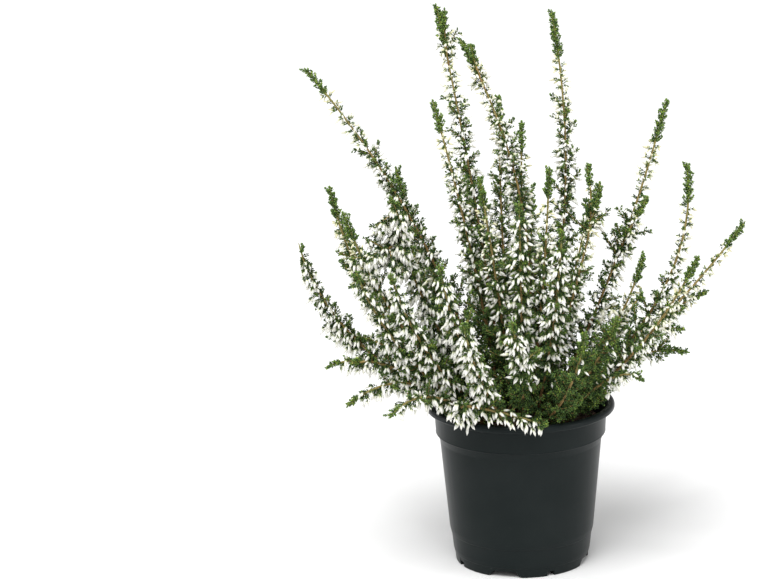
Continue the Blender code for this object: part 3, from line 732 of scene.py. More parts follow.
class Growth:
    """Everything small that grows on one stem, gathered as rows of numbers."""

    def __init__(self, rng):
        self.rng = rng
        self.leaves = []
        self.buds = []
        self.tubes = []

    def add_leaves(self, origins, ways, outs, lengths, age, tone, wide=1.0):
        """Leaves by their foot, direction, outward side and length. Width is a share of the usual one."""
        across = np.cross(ways, outs)
        across /= np.linalg.norm(across, axis=1)[:, None]
        outs = np.cross(across, ways)
        size = lengths[:, None]
        share = size / LEAF_LENGTH
        rows = [origins, across * LEAF_WIDTH * wide * share, ways * size, outs * LEAF_DEPTH * share]
        self.leaves.append(np.hstack([*rows, age[:, None], tone[:, None]]))

    def add_bud(self, origin, way, length, age):
        """One closed bud."""
        side, other = frame_of(way)
        spin = self.rng.uniform(0.0, TURN)
        across = math.cos(spin) * side + math.sin(spin) * other
        width = BUD_HALF_WIDTH * length / BUD_SIZE * self.rng.uniform(*UNEVEN_SIZES)
        rows = [origin, across * width, way * length, np.cross(across, way) * width]
        self.buds.append(np.hstack([*rows, age, self.rng.uniform()]))

    def leafy(self, path, first, last, cover, age):
        """Crossed pairs of leaves along a path. Age is a (foot, tip) pair."""
        marks = np.arange(first, last, cover.step)
        if not len(marks):
            return
        count, rng = len(marks), self.rng
        marks = marks + rng.uniform(-STEP_SPREAD, STEP_SPREAD, count) * cover.step
        points, ahead, side, other = path.frames(marks)
        share = (marks - first) / max(last - first, 1e-6)
        turn = np.arange(count) * (math.pi / 2.0) + rng.normal(0.0, TURN_SPREAD, count)
        turn += rng.uniform(0.0, math.pi)
        for half in (0.0, math.pi):
            angle = (turn + half)[:, None]
            out = np.cos(angle) * side + np.sin(angle) * other
            tilt = (math.radians(cover.lean) + rng.normal(0.0, LEAN_SPREAD, count))[:, None]
            ways = np.cos(tilt) * ahead + np.sin(tilt) * out
            lengths = between(cover.length, share) * rng.uniform(*UNEVEN_SIZES, count)
            ages = np.clip(between(age, share) + rng.normal(0.0, AGE_SPREAD, count), 0.0, 1.0)
            tones = rng.uniform(size=count)
            self.add_leaves(points + out * cover.radius, ways, out, lengths, ages, tones, cover.wide)

    def tip_leaves(self, path, length, age):
        """The closed bunch of leaves at the very end of a shoot."""
        point, ahead, side, other = path.frames(path.length - BUNCH_START * length)
        angle = (np.arange(4) * math.pi / 2.0 + BUNCH_TURN)[:, None]
        out = np.cos(angle) * side + np.sin(angle) * other
        ways = ahead + BUNCH_SPREAD * out
        ways /= np.linalg.norm(ways, axis=1)[:, None]
        lengths = np.full(4, length * BUNCH_SIZE)
        ages, tones = np.full(4, age), np.full(4, BUNCH_TONE)
        self.add_leaves(point + out * BUNCH_RADIUS, ways, out, lengths, ages, tones)

    def tube(self, path, radii, age, sides, step):
        """A thin round stem along a path. Radii and age are (foot, tip) pairs."""
        rings = max(3, int(path.length / step) + 2)
        self.tubes.append((path, np.linspace(0.0, path.length, rings), radii, age, sides))

    def knob(self, start, way, length):
        """A short thick leaf shoot, as near the tips."""
        path = arch(start, way, length, start + way * length - DOWN * length * RISE, 5)
        self.leafy(path, LEAVES_FROM, path.length - LEAVES_STOP, KNOB, FRESH)
        self.tip_leaves(path, KNOB.length[0] * 0.8, FRESH[1])

    def spray(self, start, way, length, age):
        """A side twig that rises a little, with short leaf shoots all round it."""
        rng = self.rng
        end = start + way * length * 0.97 - DOWN * length * RISE + rng.normal(0.0, SPRAY_WAVER, 3) * length
        path = arch(start, way, length, end, 9)
        self.tube(path, SPRAY_RADII, SPRAY_BARK, sides=3, step=6.0)
        self.leafy(path, SPRAY_BARE, path.length - LEAVES_STOP, SPRAY, age)
        self.tip_leaves(path, BUNCH_LENGTH, age[1])
        angle = rng.uniform(0.0, TURN)
        along = min(SPRIG_START[0], length * SPRIG_START[1])
        while along < path.length - SPRIG_STOP:
            share = along / path.length
            foot, out = path.leave(along, angle, *SPRIG_LEAN)
            size = between(SPRIG_LENGTHS, share) * rng.uniform(*SPRIG_SIZES)
            size *= min(1.0, length / FULL_SPRAY + SHORT_SHARE)
            twig = Path(np.stack([foot, foot + out * size * 0.5, foot + out * size]))
            fresh = between(age, 0.4 + 0.6 * share)
            self.leafy(twig, 0.5, size, SPRIG, (fresh, min(1.0, fresh + SPRIG_YOUNGER)))
            angle += GOLDEN_ANGLE
            along += rng.uniform(*SPRIG_GAP)

    def flower(self, start, way, length, age, hang, buds, size):
        """A short thick leafy side shoot with buds round its outer part."""
        rng = self.rng
        path = arch(start, way, length, start + way * length + DOWN * hang * length * FLOWER_DROP, 6, 0.55)
        lengths = tuple(old + change * age for old, change in FLOWER_LEAVES)
        cover = Cover(FLOWER_RADIUS, lengths, FLOWER_STEP[0] + FLOWER_STEP[1] * age, FLOWER_LEAN)
        self.leafy(path, LEAVES_FROM, path.length, cover, (age - 0.1, min(1.0, age + 0.2)))
        angle = rng.uniform(0.0, TURN)
        for number in range(buds):
            share = 1.0 - BUD_REACH * (number + rng.uniform(*BUD_SHIFT)) / max(buds, 2)
            foot, ahead, side, other = (row[0] for row in path.frames(path.length * share))
            out = math.cos(angle) * side + math.sin(angle) * other
            drop = DOWN * hang * rng.uniform(*BUD_DROP)
            bud_way = unit(ahead * rng.uniform(*BUD_AHEAD) + out * rng.uniform(*BUD_OUT) + drop)
            long = size * rng.uniform(*BUD_SIZES)
            angle += GOLDEN_ANGLE
            if faces_inside(foot, bud_way):
                continue
            self.add_bud(foot + bud_way * BUD_FOOT, bud_way, long, age)
            if size > BRACT_SIZE:
                self.bracts(foot, bud_way, age)

    def raceme(self, start, way, length, age, hang, size):
        """A flowering side twig: small flower shoots all along it and a green end."""
        rng = self.rng
        fall = RACEME_CURVE[0] * hang - RACEME_CURVE[1]
        path = arch(start, way, length, start + way * length + DOWN * length * fall, 9)
        self.tube(path, RACEME_RADII, RACEME_BARK, sides=4, step=5.0)
        self.leafy(path, 1.0, path.length, RACEME, (age, min(1.0, age + YOUNGER)))
        self.tip_leaves(path, BUNCH_LENGTH, min(1.0, age + 0.3))
        angle = rng.uniform(0.0, TURN)
        along = RACEME_START
        while along < path.length - RACEME_STOP:
            foot, out = path.leave(along, angle, rng.uniform(*FORWARD["raceme"]), RACEME_HANG * hang)
            long = rng.uniform(*RACEME_FLOWERS)
            self.flower(foot, out, long, age, hang, int(RACEME_BUDS + rng.uniform()), size)
            angle += GOLDEN_ANGLE
            along += rng.uniform(*RACEME_GAP)

    def lone_bud(self, start, way, length, age, size):
        """A bud at the end of a short leafy stalk, with another two beside it."""
        stalk = max(SHORTEST_STALK, length - size * BUD_PAST_STALK)
        path = Path(np.stack([start, start + way * stalk * 0.5, start + way * stalk]))
        self.leafy(path, LEAVES_FROM, stalk, STALK, (age, min(1.0, age + 0.2)))
        foot = start + way * (length - size * BUD_PAST_FOOT)
        self.add_bud(foot, way, size * self.rng.uniform(*LONE_SIZES), age)
        for _ in range(2):
            beside = unit(way + self.rng.normal(0.0, BESIDE_SPREAD, 3) + DOWN * BESIDE_DROP)
            self.add_bud(foot - way * BESIDE_BACK, beside, size * self.rng.uniform(*BESIDE_SIZES), age)
        self.bracts(foot, way, age)

    def bracts(self, foot, way, age):
        """Two tiny green leaves that hold a bud."""
        side, other = frame_of(way)
        angle = (np.arange(2) * TURN / 2.0 + self.rng.uniform(0.0, 3.0))[:, None]
        out = np.cos(angle) * side + np.sin(angle) * other
        ways = way + out * BRACT_SPREAD
        ways /= np.linalg.norm(ways, axis=1)[:, None]
        lengths = self.rng.uniform(*BRACT_LENGTHS, 2)
        ages = np.full(2, min(1.0, age + YOUNGER))
        self.add_leaves(foot + out * BRACT_RADIUS, ways, out, lengths, ages, self.rng.uniform(size=2))


# What each habit carries. "step", "length", "buds", "size" and "hang" are those of the flowering shoots, at
# their lowest and just under the tip: distance, length, number and size of buds, how far they hang.
# "young" is how much younger the last buds look. "twigs", "reach" and "twiggy" are the distance and length of
# the leafy side twigs and how far they go on among the flowers. "tip" is the length of the leafy end.
HABITS = {
    "tall": {
        "step": (1.55, 2.2),
        "length": (5.9, 3.3),
        "buds": (2.8, 2.4),
        "size": (5.6, 3.7),
        "hang": (0.7, 0.15),
        "young": 0.4,
        "twigs": 2.5,
        "reach": 18.0,
        "twiggy": 0.36,
        "tip": 21.0,
    },
    "low": {
        "step": (1.7, 1.7),
        "length": (6.6, 4.6),
        "buds": (3.0, 2.3),
        "size": (5.6, 5.0),
        "hang": (1.1, 0.9),
        "young": 0.12,
        "twigs": 2.5,
        "reach": 17.0,
        "twiggy": 0.5,
        "tip": 9.0,
    },
    "leafy": {"twigs": 2.5, "reach": 13.0, "twiggy": 0.0, "tip": 20.0},
}
FLOWER_KEYS = ("step", "length", "buds", "size", "hang")
FLOWER_AGE = 0.3
RIPENING = 80.0
RACEME_HEIGHT = 150.0
SHORT_FORK = 45.0
FORK_TIP = 15.0

# Side twigs stand further apart under this height and among the flowers, and are shorter there
CROWDED_HEIGHT = 122.0
CROWDED_GAP = 1.8
FLOWERING_GAP = 1.7
FLOWERING_REACH = 0.78

# Stems with a leafy end of their own length
OWN_TIPS = {
    "stem_tall_right": 30.0,
    "stem_tall_left": 26.0,
    "stem_right": 28.0,
    "stem_right_front": 26.0,
    "stem_cluster_left": 3.0,
    "stem_far_left": 3.0,
    "stem_over_rim": 5.0,
    "stem_droop_left_rear": 4.0,
}

# Stems that flower more densely
DENSITY = {"stem_cluster_left": 1.35, "stem_far_left": 1.15}

# Stems with a fan of flowering side twigs: length of the part that has them, and their own length
FANS = {"stem_cluster_left": (46.0, 16.0), "stem_far_left": (22.0, 9.0)}
FAN_MARGIN = 3.0
FAN_AGE = 0.34
FAN_HANG = 1.2
FAN_LIFT = -0.5
FAN_SIZES = (0.7, 1.1)
FAN_BARE_END = 2.0
FAN_RETRY = 0.5

# Stems whose fine flowers begin lower than those of their habit, and leafy stems with a few flowers
EARLY_FLOWERS = {
    "stem_far_right": 0.24,
    "stem_right": 0.30,
    "stem_right_front": 0.28,
    "stem_low_right_front": 0.24,
    "stem_right_rear": 0.26,
    "stem_right_centre": 0.30,
    "stem_low_right": 0.22,
}
FEW_FLOWERS = {
    "stem_front_low_right": 0.42,
    "stem_front_right": 0.48,
    "stem_curl_right": 0.72,
    "stem_tuft_right": 0.5,
}
FEW_DENSITY = 0.6

# Where the peat shows between the stems, and the shaded middle of the front, which has leaves and no flowers.
# "top" is the height of their upper edge at y = 0. It rises towards the front with the line of sight.
SIGHT_RISE = 0.257
PEAT_WINDOW = {"x": (-43.0, -3.0), "y": (-95.0, 25.0), "top": 104.0, "uneven": (-1.5, 4.0)}
LEAFY_WINDOW = {"x": (-14.0, 52.0), "y": (-95.0, 40.0), "top": 126.0, "uneven": (-24.0, 16.0)}
UNCOVERED_STEM = "stem_over_rim"


def inside_pot(points):
    """True where points would be in the wall of the pot or in the peat."""
    points = np.atleast_2d(points)
    out = np.hypot(points[:, 0], points[:, 1])
    level = np.array([soil_height(x, y) for x, y in points[:, :2]])
    in_peat = (out < RIM_INNER_RADIUS) & (points[:, 2] < level + 0.4)
    in_wall = (out > RIM_INNER_RADIUS - 4.5) & (out < RIM_RADIUS + 0.8) & (points[:, 2] < POT_HEIGHT + 0.6)
    in_body = (out < COLLAR_RADIUS + 0.8) & (points[:, 2] < LIP_UNDERSIDE)
    return in_peat | in_wall | in_body


def free_way(start, way, length):
    """A direction turned up until it is clear of the pot, or nothing."""
    shares = np.array((0.35, 0.7, 1.0))[:, None]
    for lift in (0.0, 0.35, 0.8, 1.5):
        tried = unit(way - DOWN * lift)
        if not inside_pot(start + tried * length * shares).any():
            return tried
    return None


def side_twigs(growth, habit, path, first, start, stop):
    """Leafy side twigs up a stem."""
    rules, rng = HABITS[habit], growth.rng
    angle = rng.uniform(0.0, TURN)
    along = first
    while along < stop:
        share = along / path.length
        foot, way = path.leave(along, angle, rng.uniform(*FORWARD["twig"]), TWIG_LIFT)
        length = rules["reach"] * rng.uniform(*TWIG_SIZES) * (TWIG_FOOT - TWIG_TAPER * share)
        length *= FLOWERING_REACH if along > start else 1.0
        way = free_way(foot, way, length)
        if way is not None:
            growth.spray(foot, way, length, tuple(old + more * share for old, more in TWIG_AGES))
        angle += GOLDEN_ANGLE
        gap = rules["twigs"] * rng.uniform(*UNEVEN_GAPS)
        if foot[2] < CROWDED_HEIGHT and habit != "leafy":
            gap *= CROWDED_GAP
        along += gap * (FLOWERING_GAP if along > start else 1.0)


def flower_shoots(growth, habit, path, start, stop, dense):
    """Flowering shoots up a stem, with smaller buds the nearer they are to the tip."""
    rules, rng = HABITS[habit], growth.rng
    angle = rng.uniform(0.0, TURN)
    along = start
    while along < stop:
        fresh = 1.0 - min(1.0, (stop - along) / min(RIPENING, stop - start))
        step, length, buds, size, hang = (between(rules[key], fresh) for key in FLOWER_KEYS)
        foot, way = path.leave(along, angle, rng.uniform(*FORWARD["flower"]), FLOWER_HANG * hang)
        length *= rng.uniform(*FLOWER_SIZES)
        way = free_way(foot, way, length)
        if way is not None:
            age = FLOWER_AGE + rules["young"] * fresh
            growth.flower(foot, way, length, age, hang, int(buds * dense + rng.uniform()), size)
        angle += GOLDEN_ANGLE
        along += step * rng.uniform(*UNEVEN_GAPS) / dense


def green_tip(growth, path, start):
    """The leafy end of a stem: pairs of thick knobs that get shorter upwards."""
    rng = growth.rng
    growth.leafy(path, start, path.length - TIP_BARE, STEM_END, END_AGE)
    growth.tip_leaves(path, TIP_BUNCH, END_AGE[1])
    angle = rng.uniform(0.0, TURN)
    along = start + FIRST_KNOB
    while along < path.length - LAST_KNOB:
        share = min(1.0, (path.length - along) / LEAFY_TIP)
        for half in (0.0, math.pi):
            foot, way = path.leave(along, angle + half, rng.uniform(*FORWARD["knob"]), KNOB_LIFT)
            growth.knob(foot, way, (KNOB_LENGTHS[0] + KNOB_LENGTHS[1] * share) * rng.uniform(*KNOB_SIZES))
        angle += math.pi / 2.0 + rng.normal(0.0, KNOB_TURN_SPREAD)
        along += rng.uniform(*KNOB_GAP)


def fan(growth, path, first, length):
    """Long flowering side twigs that hang from the upper part of a stem."""
    rng = growth.rng
    along = max(0.0, path.length - first)
    while along < path.length - FAN_BARE_END:
        foot, way = path.leave(along, rng.uniform(0.0, TURN), rng.uniform(*FORWARD["fan"]), FAN_LIFT)
        reach = length * rng.uniform(*FAN_SIZES)
        end = foot + way * reach
        fits = (end > BOX_LOW + FAN_MARGIN).all() and (end < BOX_HIGH - FAN_MARGIN).all()
        if fits and not faces_inside(foot, way):
            growth.raceme(foot, way, reach, FAN_AGE, FAN_HANG, BUD_SIZE)
            along += rng.uniform(*FAN_GAP)
        else:
            along += FAN_RETRY


def grow_axis(growth, habit, path, first, flowers_from, tip_length, woody, dense):
    """Everything along one stem or fork: twigs low down, flowers above, leaves at the tip."""
    growth.tube(path, WOODY_RADII if woody else FORK_RADII, (0.0 if woody else 0.35, 1.0), sides=6, step=3.6)
    tip_from = max(first, path.length - tip_length)
    start = path.length * flowers_from
    if path.length > SHORT_FORK:
        stop = min(start + HABITS[habit]["twiggy"] * path.length, tip_from)
        side_twigs(growth, habit, path, first, start, stop)
    if habit != "leafy":
        flower_shoots(growth, habit, path, start, tip_from, dense)
    green_tip(growth, path, tip_from)


def grow_repeats(growth, stem, tip):
    """Finer growth in the place of each repeat of the solid."""
    for kind, here, way, reach, rest in stem.repeats:
        ripe = min(1.0, max(0.0, (rest - tip) / RIPENING)) if stem.habit == "tall" else 1.0
        size = between((YOUNG_BUD_SIZE, BUD_SIZE), ripe)
        if kind == "bud":
            growth.lone_bud(here, way, reach, 0.65 - 0.3 * ripe, size)
        elif kind == "shoot":
            growth.knob(here, way, reach * 0.85)
        elif here[2] > RACEME_HEIGHT and stem.habit != "leafy":
            growth.raceme(here, way, reach, 0.5, 0.5, size)
        else:
            growth.spray(here, way, reach, LOW_SPRAY_AGE)


def grow(stem, rng):
    """All the fine growth of one stem."""
    growth = Growth(rng)
    habit = stem.habit
    path = Path(np.vstack([stem.foot, stem.curve(np.linspace(0.0, 1.0, 60))]), END_GAP)
    forks = [Path(fork_curve(fork)(np.linspace(0.0, 1.0, 24)), END_GAP) for fork in stem.forks]
    first = STEM_DEPTH + BARE_LENGTH[habit] * 0.35
    tip = OWN_TIPS.get(stem.name, HABITS[habit]["tip"])
    dense = DENSITY.get(stem.name, 1.0)
    flowers_from = EARLY_FLOWERS.get(stem.name, min(FLOWERS_FROM[habit], 1.0))
    grow_axis(growth, habit, path, first, flowers_from, tip, True, dense)
    if stem.name in FEW_FLOWERS:
        start = path.length * FEW_FLOWERS[stem.name]
        flower_shoots(growth, "low", path, start, path.length - tip, FEW_DENSITY)
    for line in forks:
        fork_tip = min(tip, FORK_TIP, line.length * 0.4)
        grow_axis(growth, habit, line, 4.0, 0.12 if habit != "leafy" else 1.0, fork_tip, False, dense)
    if stem.name in FANS:
        for line in [path, *forks]:
            fan(growth, line, *FANS[stem.name])
    grow_repeats(growth, stem, tip)
    growth.leaves = kept(growth.leaves)
    growth.buds = kept(growth.buds)
    if stem.name != UNCOVERED_STEM:
        growth.leaves = out_of_window(growth.leaves, PEAT_WINDOW, rng)
        growth.buds = out_of_window(growth.buds, PEAT_WINDOW, rng)
        growth.buds = out_of_window(growth.buds, LEAFY_WINDOW, rng)
    return growth


def out_of_window(rows, window, rng):
    """The rows that leave the view into a window free."""
    tips = rows[:, :3] + rows[:, 6:9]
    level = tips[:, 2] + SIGHT_RISE * tips[:, 1] + rng.uniform(*window["uneven"], len(rows))
    inside = level < window["top"]
    for axis, key in enumerate("xy"):
        inside &= (tips[:, axis] > window[key][0]) & (tips[:, axis] < window[key][1])
    return rows[~inside]


def kept(rows):
    """The rows whose pieces stay inside the size of the solids and outside the pot."""
    if not rows:
        return np.empty((0, ROW_LENGTH))
    rows = np.vstack(rows)
    foot, length = rows[:, :3], rows[:, 6:9]
    tips, middles, widest = foot + length, foot + length * 0.5, foot + length * 0.6
    width = np.abs(rows[:, 3:6]) + np.abs(rows[:, 9:12])
    inside = np.ones(len(rows), bool)
    for points in (tips, middles - width, middles + width, widest - width, widest + width):
        inside &= (points > BOX_LOW).all(1) & (points < BOX_HIGH).all(1)
    return rows[inside & ~inside_pot(tips) & ~inside_pot(middles)]


# Meshes from arrays

# A row holds a foot, three axes, an age and a tone
ROW_LENGTH = 14
BUD_SIDES = 8
BUD_PROFILE = ((0.17, 0.86), (0.6, 0.9))
BUD_VALLEY = 0.82
COLOUR_MAP = "OFBake"


def leaf_template():
    """A small keeled leaf: its foot, two lowered edges and tip, the same on its colour map, and its faces."""
    points = np.array([(0, 0, 0.2), (-0.5, 0.45, -0.25), (0.5, 0.45, -0.25), (0, 1, 0.05)], float)
    spots = np.array([(0.5, 0.02), (0.1, 0.45), (0.9, 0.45), (0.5, 0.98)])
    faces = np.array([(0, 3, 1), (0, 2, 3), (0, 1, 2), (1, 3, 2)], int)
    return points, spots, faces


def bud_template():
    """A closed bud of four sepals, with a blunt foot and a fine point."""
    points = [(0.0, 0.0, 0.0)]
    spots = [(0.5, 0.01)]
    for height, radius in BUD_PROFILE:
        for step in range(BUD_SIDES):
            angle = TURN * step / BUD_SIDES
            bulge = radius * (1.0 if step % 2 else BUD_VALLEY)
            points.append((bulge * math.cos(angle), height, -bulge * math.sin(angle)))
            spots.append((0.1 + 0.8 * abs(step - BUD_SIDES / 2) / (BUD_SIDES / 2), height))
    points.append((0.0, 1.0, 0.0))
    spots.append((0.5, 0.99))
    faces = []
    last = 1 + (len(BUD_PROFILE) - 1) * BUD_SIDES
    for step in range(BUD_SIDES):
        after = (step + 1) % BUD_SIDES
        faces.append((0, 1 + after, 1 + step))
        for level in range(len(BUD_PROFILE) - 1):
            low = 1 + level * BUD_SIDES
            high = low + BUD_SIDES
            faces.append((low + step, low + after, high + after))
            faces.append((low + step, high + after, high + step))
        faces.append((last + step, last + after, len(points) - 1))
    return np.array(points), np.array(spots), np.array(faces, int)


def spread(template, rows):
    """Copies of a template, one for each row, with their values and their place on the colour map."""
    points, spots, faces = template
    count = len(points)
    axes = rows[:, 3:12].reshape(len(rows), 3, 3)
    verts = rows[:, None, :3] + np.einsum("vk,nkd->nvd", points, axes)
    all_faces = faces[None] + (np.arange(len(rows)) * count)[:, None, None]
    cells = np.clip(np.floor(rows[:, 12:14] * CELLS), 0, CELLS - 1)
    cell = cells[:, 0] * CELLS + cells[:, 1]
    across = (cell[:, None] + spots[None, :, 0]) / (CELLS * CELLS)
    along = np.repeat(spots[None, :, 1], len(rows), 0).ravel()
    ages, tones = (np.repeat((cells[:, column] + 0.5) / CELLS, count) for column in (0, 1))
    values = {"age": ages, "tone": tones, "along": along}
    return verts.reshape(-1, 3), all_faces.reshape(-1, 3), values, np.stack([across.ravel(), along], 1)


def tube_mesh(tubes):
    """Verts, faces, values and colour map of many tubes, each closed at both ends."""
    verts, faces, ages, tones, across, count = [], [], [], [], [], 0
    for number, (path, marks, radii, age, sides) in enumerate(tubes):
        points, _, side, other = path.frames(marks)
        share = marks / path.length
        radius = between(radii, share)
        radius[-1] *= 0.3
        angle = TURN * np.arange(sides) / sides
        ring = np.cos(angle)[None, :, None] * side[:, None] + np.sin(angle)[None, :, None] * other[:, None]
        rings = len(marks)
        verts += [(points[:, None] + ring * radius[:, None, None]).reshape(-1, 3), points[[0, -1]]]
        ages += [np.repeat(between(age, share), sides), np.array(age)]
        cell = number * 5 % CELLS
        tones.append(np.full(rings * sides + 2, (cell + 0.5) / CELLS))
        spots = np.append(np.tile(0.1 + 0.8 * np.arange(sides) / (sides - 1), rings), (0.5, 0.5))
        across.append((cell + spots) / CELLS)
        index = count + np.arange(rings * sides).reshape(rings, sides)
        after = np.roll(index, -1, 1)
        foot = np.full(sides, count + rings * sides)
        faces.append(np.stack([index[:-1], after[:-1], after[1:]], -1).reshape(-1, 3))
        faces.append(np.stack([index[:-1], after[1:], index[1:]], -1).reshape(-1, 3))
        faces.append(np.stack([foot, after[0], index[0]], -1))
        faces.append(np.stack([foot + 1, index[-1], after[-1]], -1))
        count += rings * sides + 2
    ages = np.concatenate(ages)
    maps = np.stack([np.concatenate(across), 0.01 + 0.98 * ages], 1)
    return np.vstack(verts), np.vstack(faces), {"age": ages, "tone": np.concatenate(tones)}, maps


def stitched(rings):
    """Triangles between rings of points. A ring is a single point or has as many points as the others."""
    faces = []
    for low, high in zip(rings, rings[1:]):
        low_after, high_after = np.roll(low, -1), np.roll(high, -1)
        if len(low) == 1:
            faces.append(np.stack([np.full(len(high), low[0]), high_after, high], 1))
        elif len(high) == 1:
            faces.append(np.stack([low, low_after, np.full(len(low), high[0])], 1))
        else:
            faces.append(np.stack([low, low_after, high_after], 1))
            faces.append(np.stack([low, high_after, high], 1))
    return np.vstack(faces)


def piece_of(name, shape, mat, slot, node, smooth=True):
    """A mesh object in metres from its points, faces, values and colour map, hung on the root body; it hides
    the solid of its node.
    """
    verts, faces, values, maps = shape
    mesh = bpy.data.meshes.new(name)
    faces = np.asarray(faces, np.int32)
    mesh.vertices.add(len(verts))
    mesh.vertices.foreach_set("co", (np.asarray(verts, np.float64) * MM).astype(np.float32).ravel())
    mesh.loops.add(faces.size)
    mesh.loops.foreach_set("vertex_index", faces.ravel())
    mesh.polygons.add(len(faces))
    mesh.polygons.foreach_set("loop_start", np.arange(0, faces.size, faces.shape[1], dtype=np.int32))
    mesh.update(calc_edges=True)
    for key, value in values.items():
        layer = mesh.attributes.new(key, "FLOAT", "POINT")
        layer.data.foreach_set("value", np.asarray(value, np.float32))
    if maps is not None:
        layer = mesh.uv_layers.new(name=COLOUR_MAP)
        layer.data.foreach_set("uv", maps[faces.ravel()].astype(np.float32).ravel())
    if smooth:
        mesh.shade_smooth()
    mesh.materials.append(mat)
    item = bpy.data.objects.new(name, mesh)
    bpy.context.scene.collection.objects.link(item)
    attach(item, "root")
    if node:
        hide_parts(node)
    return item


# Materials: colours are linear and go by stops of (place, colour)

# Leaves: deep green when old, fresh and yellowish at the tips, paler at their feet
LEAF_COLOURS = {
    "age": [(0.0, (0.030, 0.056, 0.027)), (0.45, (0.082, 0.148, 0.047)), (1.0, (0.200, 0.315, 0.088))],
    "tone": [
        (0.0, (0.34, 0.40, 0.62)),
        (0.4, (0.80, 0.86, 0.88)),
        (0.8, (1.2, 1.15, 1.0)),
        (1.0, (2.2, 1.85, 1.0)),
    ],
    "along": [(0.0, (0.75, 0.80, 0.55)), (0.3, (0.9, 0.9, 0.85)), (1.0, (1.15, 1.12, 1.0))],
}

# White buds: greenish cream at the foot, faintly warm when young
BUD_COLOURS = {
    "along": [
        (0.0, (0.42, 0.50, 0.20)),
        (0.16, (0.74, 0.76, 0.52)),
        (0.4, (0.90, 0.90, 0.86)),
        (1.0, (0.93, 0.92, 0.87)),
    ],
    "age": [(0.48, (1.0, 1.0, 1.0)), (0.58, (0.93, 0.92, 0.80)), (0.7, (0.80, 0.77, 0.54))],
    "tone": [(0.0, (0.93, 0.93, 0.90)), (0.5, (1.0, 1.0, 1.0)), (1.0, (1.0, 0.985, 0.93))],
}

# Thin bark: red brown at the foot, tan above, green in the young ends
BARK_COLOURS = {
    "age": [
        (0.0, (0.10, 0.052, 0.025)),
        (0.25, (0.27, 0.155, 0.062)),
        (0.65, (0.44, 0.32, 0.125)),
        (1.0, (0.34, 0.33, 0.11)),
    ],
    "tone": [(0.0, (0.70, 0.68, 0.66)), (1.0, (1.15, 1.12, 1.08))],
}

# Pot: dark grey-green plastic under a little dust. Peat: dark brown with lighter fibres.
POT_COLOURS = [(0.3, (0.0080, 0.0118, 0.0118)), (0.7, (0.0116, 0.0156, 0.0156))]
DUST_COLOUR = (0.16, 0.14, 0.12)
DUST_SPOTS = [(0.66, (0.0, 0.0, 0.0)), (0.78, (1.0, 1.0, 1.0))]
DUST_SHARE = 0.05
POT_ROUGHNESS = (0.31, 0.36)
PEAT_COLOURS = [(0.3, (0.020, 0.012, 0.009)), (0.55, (0.070, 0.042, 0.028)), (0.8, (0.170, 0.108, 0.070))]
FLOOR_COLOUR = (0.90, 0.90, 0.90)

# Noise patterns: scale, detail and roughness. Relief: strength and distance in metres.
FLOW_MARKS = (28.0, 5.0)
DUST_SPECKS = (420.0, 3.0, 0.7)
POT_GRAIN = (1500.0, 2.0)
POT_RELIEF = (0.06, 0.00006)
PEAT_GRAIN = (260.0, 8.0, 0.7)
PEAT_RELIEF = (0.9, 0.0012)

# Roughness and strength of the mirror reflection
LEAF_FINISH = (0.6, 0.12)
BUD_FINISH = (0.5, 0.3)
BARK_FINISH = (0.75, 0.2)
POT_FINISH = (0.5, 0.09)
PEAT_FINISH = (0.95, 0.5)
FLOOR_FINISH = (0.9, 0.5)


class Look:
    """A material with short ways to add to its nodes."""

    def __init__(self, name, finish):
        self.mat = bpy.data.materials.new(name)
        self.mat.use_nodes = True
        self.nodes = self.mat.node_tree.nodes
        self.link = self.mat.node_tree.links.new
        self.shader = self.nodes["Principled BSDF"].inputs
        self.shader["Roughness"].default_value = finish[0]
        self.shader["Specular IOR Level"].default_value = finish[1]
        self.space = None

    def follow_object(self):
        """Lay the noise patterns by the coordinates of the object."""
        self.space = self.nodes.new("ShaderNodeTexCoord").outputs["Object"]

    def ramp(self, source, stops):
        """A colour that follows an output through stops."""
        node = self.nodes.new("ShaderNodeValToRGB")
        elements = node.color_ramp.elements
        while len(elements) < len(stops):
            elements.new(0.5)
        for element, (place, colour) in zip(elements, stops):
            element.position = place
            element.color = (*colour, 1.0)
        self.link(source, node.inputs["Fac"])
        return node.outputs["Color"]

    def value(self, name):
        """A value stored at the points of the mesh."""
        node = self.nodes.new("ShaderNodeAttribute")
        node.attribute_name = name
        return node.outputs["Fac"]

    def mix(self, blend, first, second):
        """A mix node for two colours, the second an output or a fixed colour."""
        node = self.nodes.new("ShaderNodeMix")
        node.data_type = "RGBA"
        node.blend_type = blend
        node.inputs["Factor"].default_value = 1.0
        self.link(first, node.inputs["A"])
        if isinstance(second, tuple):
            node.inputs["B"].default_value = (*second, 1.0)
        else:
            self.link(second, node.inputs["B"])
        return node

    def noise(self, scale, detail, roughness=0.55):
        """A noise pattern, as a value from 0 to 1."""
        node = self.nodes.new("ShaderNodeTexNoise")
        node.inputs["Scale"].default_value = scale
        node.inputs["Detail"].default_value = detail
        node.inputs["Roughness"].default_value = roughness
        self.link(self.space, node.inputs["Vector"])
        return node.outputs["Fac"]

    def bump(self, height, strength, distance):
        """Relief from a height output."""
        node = self.nodes.new("ShaderNodeBump")
        node.inputs["Strength"].default_value = strength
        node.inputs["Distance"].default_value = distance
        self.link(height, node.inputs["Height"])
        self.link(node.outputs["Normal"], self.shader["Normal"])


def grown_material(name, finish, colours):
    """The product of one colour for each stored value."""
    look = Look(name, finish)
    product = None
    for key, stops in colours.items():
        colour = look.ramp(look.value(key), stops)
        product = colour if product is None else look.mix("MULTIPLY", product, colour).outputs["Result"]
    look.link(product, look.shader["Base Color"])
    return look.mat


